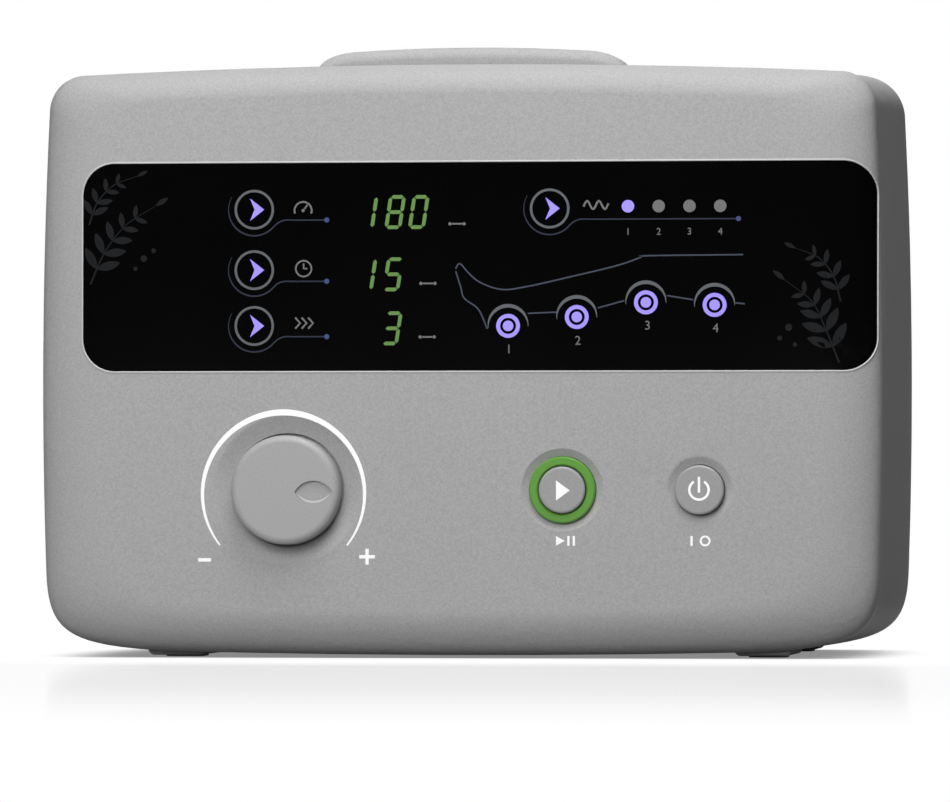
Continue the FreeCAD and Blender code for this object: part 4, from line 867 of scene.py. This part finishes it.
def rounded_outline(x0, x1, z0, z1, r, step):
    """Points and outward normals round a rounded rectangle, anticlockwise, at even steps."""
    points, normals = [], []
    corners = ((x1 - r, z0 + r, -90), (x1 - r, z1 - r, 0), (x0 + r, z1 - r, 90), (x0 + r, z0 + r, 180))
    for centre_x, centre_z, start in corners:
        a = np.radians(np.linspace(start, start + 90, 20))
        unit = np.stack([np.cos(a), np.sin(a)], axis=1)
        points.append(unit * r + (centre_x, centre_z))
        normals.append(unit)
    points, normals = np.concatenate(points), np.concatenate(normals)
    points, normals = np.vstack([points, points[:1]]), np.vstack([normals, normals[:1]])
    s = np.concatenate([[0], np.cumsum(np.linalg.norm(np.diff(points, axis=0), axis=1))])
    t = np.arange(0, s[-1], step)
    return [np.stack([np.interp(t, s, table[:, i]) for i in (0, 1)], axis=1) for table in (points, normals)]


def closed_grid(rows, columns):
    """Quads (i,j) (i,j+1) (i+1,j+1) (i+1,j) of numbered points, closed in both directions."""
    index = np.arange(rows * columns).reshape(rows, columns)
    index = np.vstack([index, index[:1]])
    index = np.hstack([index, index[:, :1]])
    quads = np.stack([index[:-1, :-1], index[:-1, 1:], index[1:, 1:], index[1:, :-1]], axis=-1)
    return quads.reshape(-1, 4).tolist()


path, outward = rounded_outline(*WINDOW, CORNER_R, STEP)
angles = np.linspace(0, 2 * np.pi, SIDES, endpoint=False)
across, proud = BEAD_HALF_WIDTH * np.cos(angles) + BEAD_OUT, BEAD_HEIGHT * np.sin(angles)
bead = np.empty((len(path), SIDES, 3))
bead[..., 0] = path[:, :1] + outward[:, :1] * across
bead[..., 2] = path[:, 1:] + outward[:, 1:] * across
bead[..., 1] = FRONT / MM + casing_depth(path[:, 0], path[:, 1])[:, None] - proud
# Lighter silver than the casing paint: a painted highlight along the bead
bead_silver_painted_highlight = paint("bead_silver_painted_highlight", grey(0.52), speckle=0.1, rough=0.35, Specular_IOR_Level=0.4)
piece("window_bead", (bead * MM).reshape(-1, 3), closed_grid(len(path), SIDES), bead_silver_painted_highlight)
print("window bead:", len(path), "steps")

# %% [markdown]
# ## Floor
# The floor is white to the camera and to reflections, and dark to light that bounces, so
# that it doesn't brighten the underside; it is darkest on the right, where a studio would
# hang a black flag. An Ambient Occlusion node darkens it under the pump: that is the
# shadow of a very soft light. A faint mirror image shows only where the floor is seen
# almost edge on, which Layer Weight tells, and it fades out towards the camera and close
# to the pump.

# %% Floor
def seen_directly(tree):
    """Light Path node, and 1 for camera, glossy and transmission rays or 0 for other light."""
    path = add(tree, "ShaderNodeLightPath", -600, 200)
    first = calc(tree, "MAXIMUM", -400, 200, (path, "Is Camera Ray"), (path, "Is Glossy Ray"))
    return path, calc(tree, "MAXIMUM", -220, 200, (first, 0), (path, "Is Transmission Ray"))


def blend(tree, x, share, first, second):
    """Mix Shader: the first shader where the share is 0, the second where it is 1."""
    node = add(tree, "ShaderNodeMixShader", x, 0)
    wire(tree, *share, node, 0)
    wire(tree, first, 0, node, 1)
    wire(tree, second, 0, node, 2)
    return node


def floor_finish():
    """Dark, or where it is seen directly a blend of shaded white and a faint mirror."""
    material = bpy.data.materials.new("floor")
    material.use_nodes = True
    tree = material.node_tree
    tree.nodes.clear()
    end = add(tree, "ShaderNodeOutputMaterial", 900)
    direct = seen_directly(tree)[1]
    shade = add(tree, "ShaderNodeAmbientOcclusion", -400, 0, Distance=0.03, samples=12, only_local=False)
    level = span(tree, -200, 0, (shade, "AO"), 0.05, 0.6, 0.25, 1.0)
    white = add(tree, "ShaderNodeEmission", 100, 0)
    wire(tree, level, "Result", white, "Color")
    place, axes = add(tree, "ShaderNodeTexCoord", -600, -300), add(tree, "ShaderNodeSeparateXYZ", -400, -300)
    wire(tree, place, "Object", axes, 0)
    polish = span(tree, -200, -300, (axes, "Y"), -1.0, -0.45, 0.0, 0.24, interpolation_type="SMOOTHSTEP")
    nearer = span(tree, -200, -550, (axes, "Y"), -0.24, -0.16, 1.0, 0.0)
    gloss = calc(tree, "MULTIPLY", 0, -450, (polish, "Result"), (nearer, "Result"))
    facing = add(tree, "ShaderNodeLayerWeight", -400, -750, Blend=0.5)
    edge_on = span(tree, -200, -750, (facing, "Facing"), 0.86, 0.92, interpolation_type="SMOOTHSTEP")
    share = calc(tree, "MULTIPLY", 100, -600, (gloss, 0), (edge_on, "Result"))
    mirror = add(tree, "ShaderNodeBsdfAnisotropic", 100, -300, Color=grey(1.0), Roughness=0.12)
    flag = span(tree, -200, -150, (axes, "X"), 0.0, 0.22, 0.25, 0.15)
    dark = add(tree, "ShaderNodeBsdfDiffuse", 100, -150)
    wire(tree, flag, "Result", dark, "Color")
    shine = blend(tree, 300, (share, 0), white, mirror)
    wire(tree, blend(tree, 500, (direct, 0), dark, shine), 0, end, "Surface")
    return material


HALF_FLOOR = 20
floor_mesh = bpy.data.meshes.new("floor")
floor_mesh.from_pydata([(i * HALF_FLOOR, j * HALF_FLOOR, 0) for i, j in ((-1, -1), (1, -1), (1, 1), (-1, 1))],
                       [], [(0, 1, 2, 3)])
floor = bpy.data.objects.new("floor", floor_mesh)
bpy.context.collection.objects.link(floor)
floor_mesh.materials.append(floor_finish())
print("floor", 2 * HALF_FLOOR, "m wide")

# %% [markdown]
# ## World
# The camera sees a white world. Reflections see white only in a small patch behind the
# pump, where the floor's mirror looks, and overhead: in front it is dark, as a studio is,
# so that the window stays black. The soft light that the world gives falls off to the
# right, so that the right side is the dark one.

# %% World
def studio_world():
    """Strength 1 to the camera and in mirrors at patch and top; else 0.19 to 0 from left to right."""
    world = bpy.data.worlds.new("studio")
    world.use_nodes = True
    tree = world.node_tree
    tree.nodes.clear()
    end = add(tree, "ShaderNodeOutputWorld", 900)
    path, direct = seen_directly(tree)
    where = add(tree, "ShaderNodeTexCoord", -800, -200)
    axes = add(tree, "ShaderNodeSeparateXYZ", -600, -200)
    wire(tree, where, "Generated", axes, 0)
    behind = span(tree, -400, -200, (axes, "Y"), 0.55, 0.85, interpolation_type="SMOOTHSTEP")
    aside = calc(tree, "COMPARE", -600, -500, (axes, "X"), -0.12, 0.13)
    low = calc(tree, "COMPARE", -600, -700, (axes, "Z"), 0.04, 0.1)
    straight = calc(tree, "MULTIPLY", -400, -550, (behind, "Result"), (aside, 0))
    patch = calc(tree, "MULTIPLY", -200, -550, (straight, 0), (low, 0))
    above = span(tree, -400, -400, (axes, "Z"), 0.6, 0.95, interpolation_type="SMOOTHSTEP")
    bright = calc(tree, "MAXIMUM", 0, -250, (patch, 0), (above, "Result"))
    visible = calc(tree, "MAXIMUM", -200, -100, (path, "Is Camera Ray"), (bright, 0))
    ambient = span(tree, -100, -300, (axes, "X"), 0.1, 0.8, 0.19, 0.0)
    strength = add(tree, "ShaderNodeMix", 100, 0, data_type="FLOAT")
    wire(tree, direct, 0, strength, 0)
    wire(tree, ambient, "Result", strength, 2)
    wire(tree, visible, 0, strength, 3)
    light = add(tree, "ShaderNodeBackground", 400, 0, Color=(1, 1, 1, 1))
    wire(tree, strength, 0, light, "Strength")
    wire(tree, light, 0, end, "Surface")
    return world


bpy.context.scene.world = studio_world()
print("world:", len(bpy.context.scene.world.node_tree.nodes), "nodes")

# %% [markdown]
# ## Lamps
# The key is a soft box in front, low and a little to the left, so that knob and buttons
# throw short shadows and the right side gets almost nothing. A box close above gives the
# top edge more light than the upright front, and the upper part more than the lower. A
# third lamp lights the back. Key and back lamp don't show in mirrors, so that the window
# stays black and the floor white. A lamp's power follows from the level wanted at the
# pump: P = level x pi^2 x distance^2.

# %% Lamps
LAMP_AIM = Vector((0, 0, 0.1))


def soft_box(name, turn, rise, distance, size, level, mirrored=True):
    """Square area lamp that gives a white surface facing it the wanted level."""
    away = direction(turn, rise)
    lamp = bpy.data.objects.new(name, bpy.data.lights.new(name, "AREA"))
    bpy.context.collection.objects.link(lamp)
    lamp.location = LAMP_AIM + away * distance
    lamp.rotation_euler = (-away).to_track_quat("-Z", "Y").to_euler()
    lamp.data.shape, lamp.data.size = "SQUARE", size
    lamp.data.energy = level * math.pi ** 2 * distance ** 2
    lamp.visible_glossy = mirrored
    print(name, round(lamp.data.energy, 1), "W")


soft_box("key", -8, 22, 1.6, 0.9, 0.63, mirrored=False)
soft_box("top", 20, 62, 0.9, 0.5, 0.74)
soft_box("back", 180, 32, 2.6, 0.8, 0.62, mirrored=False)
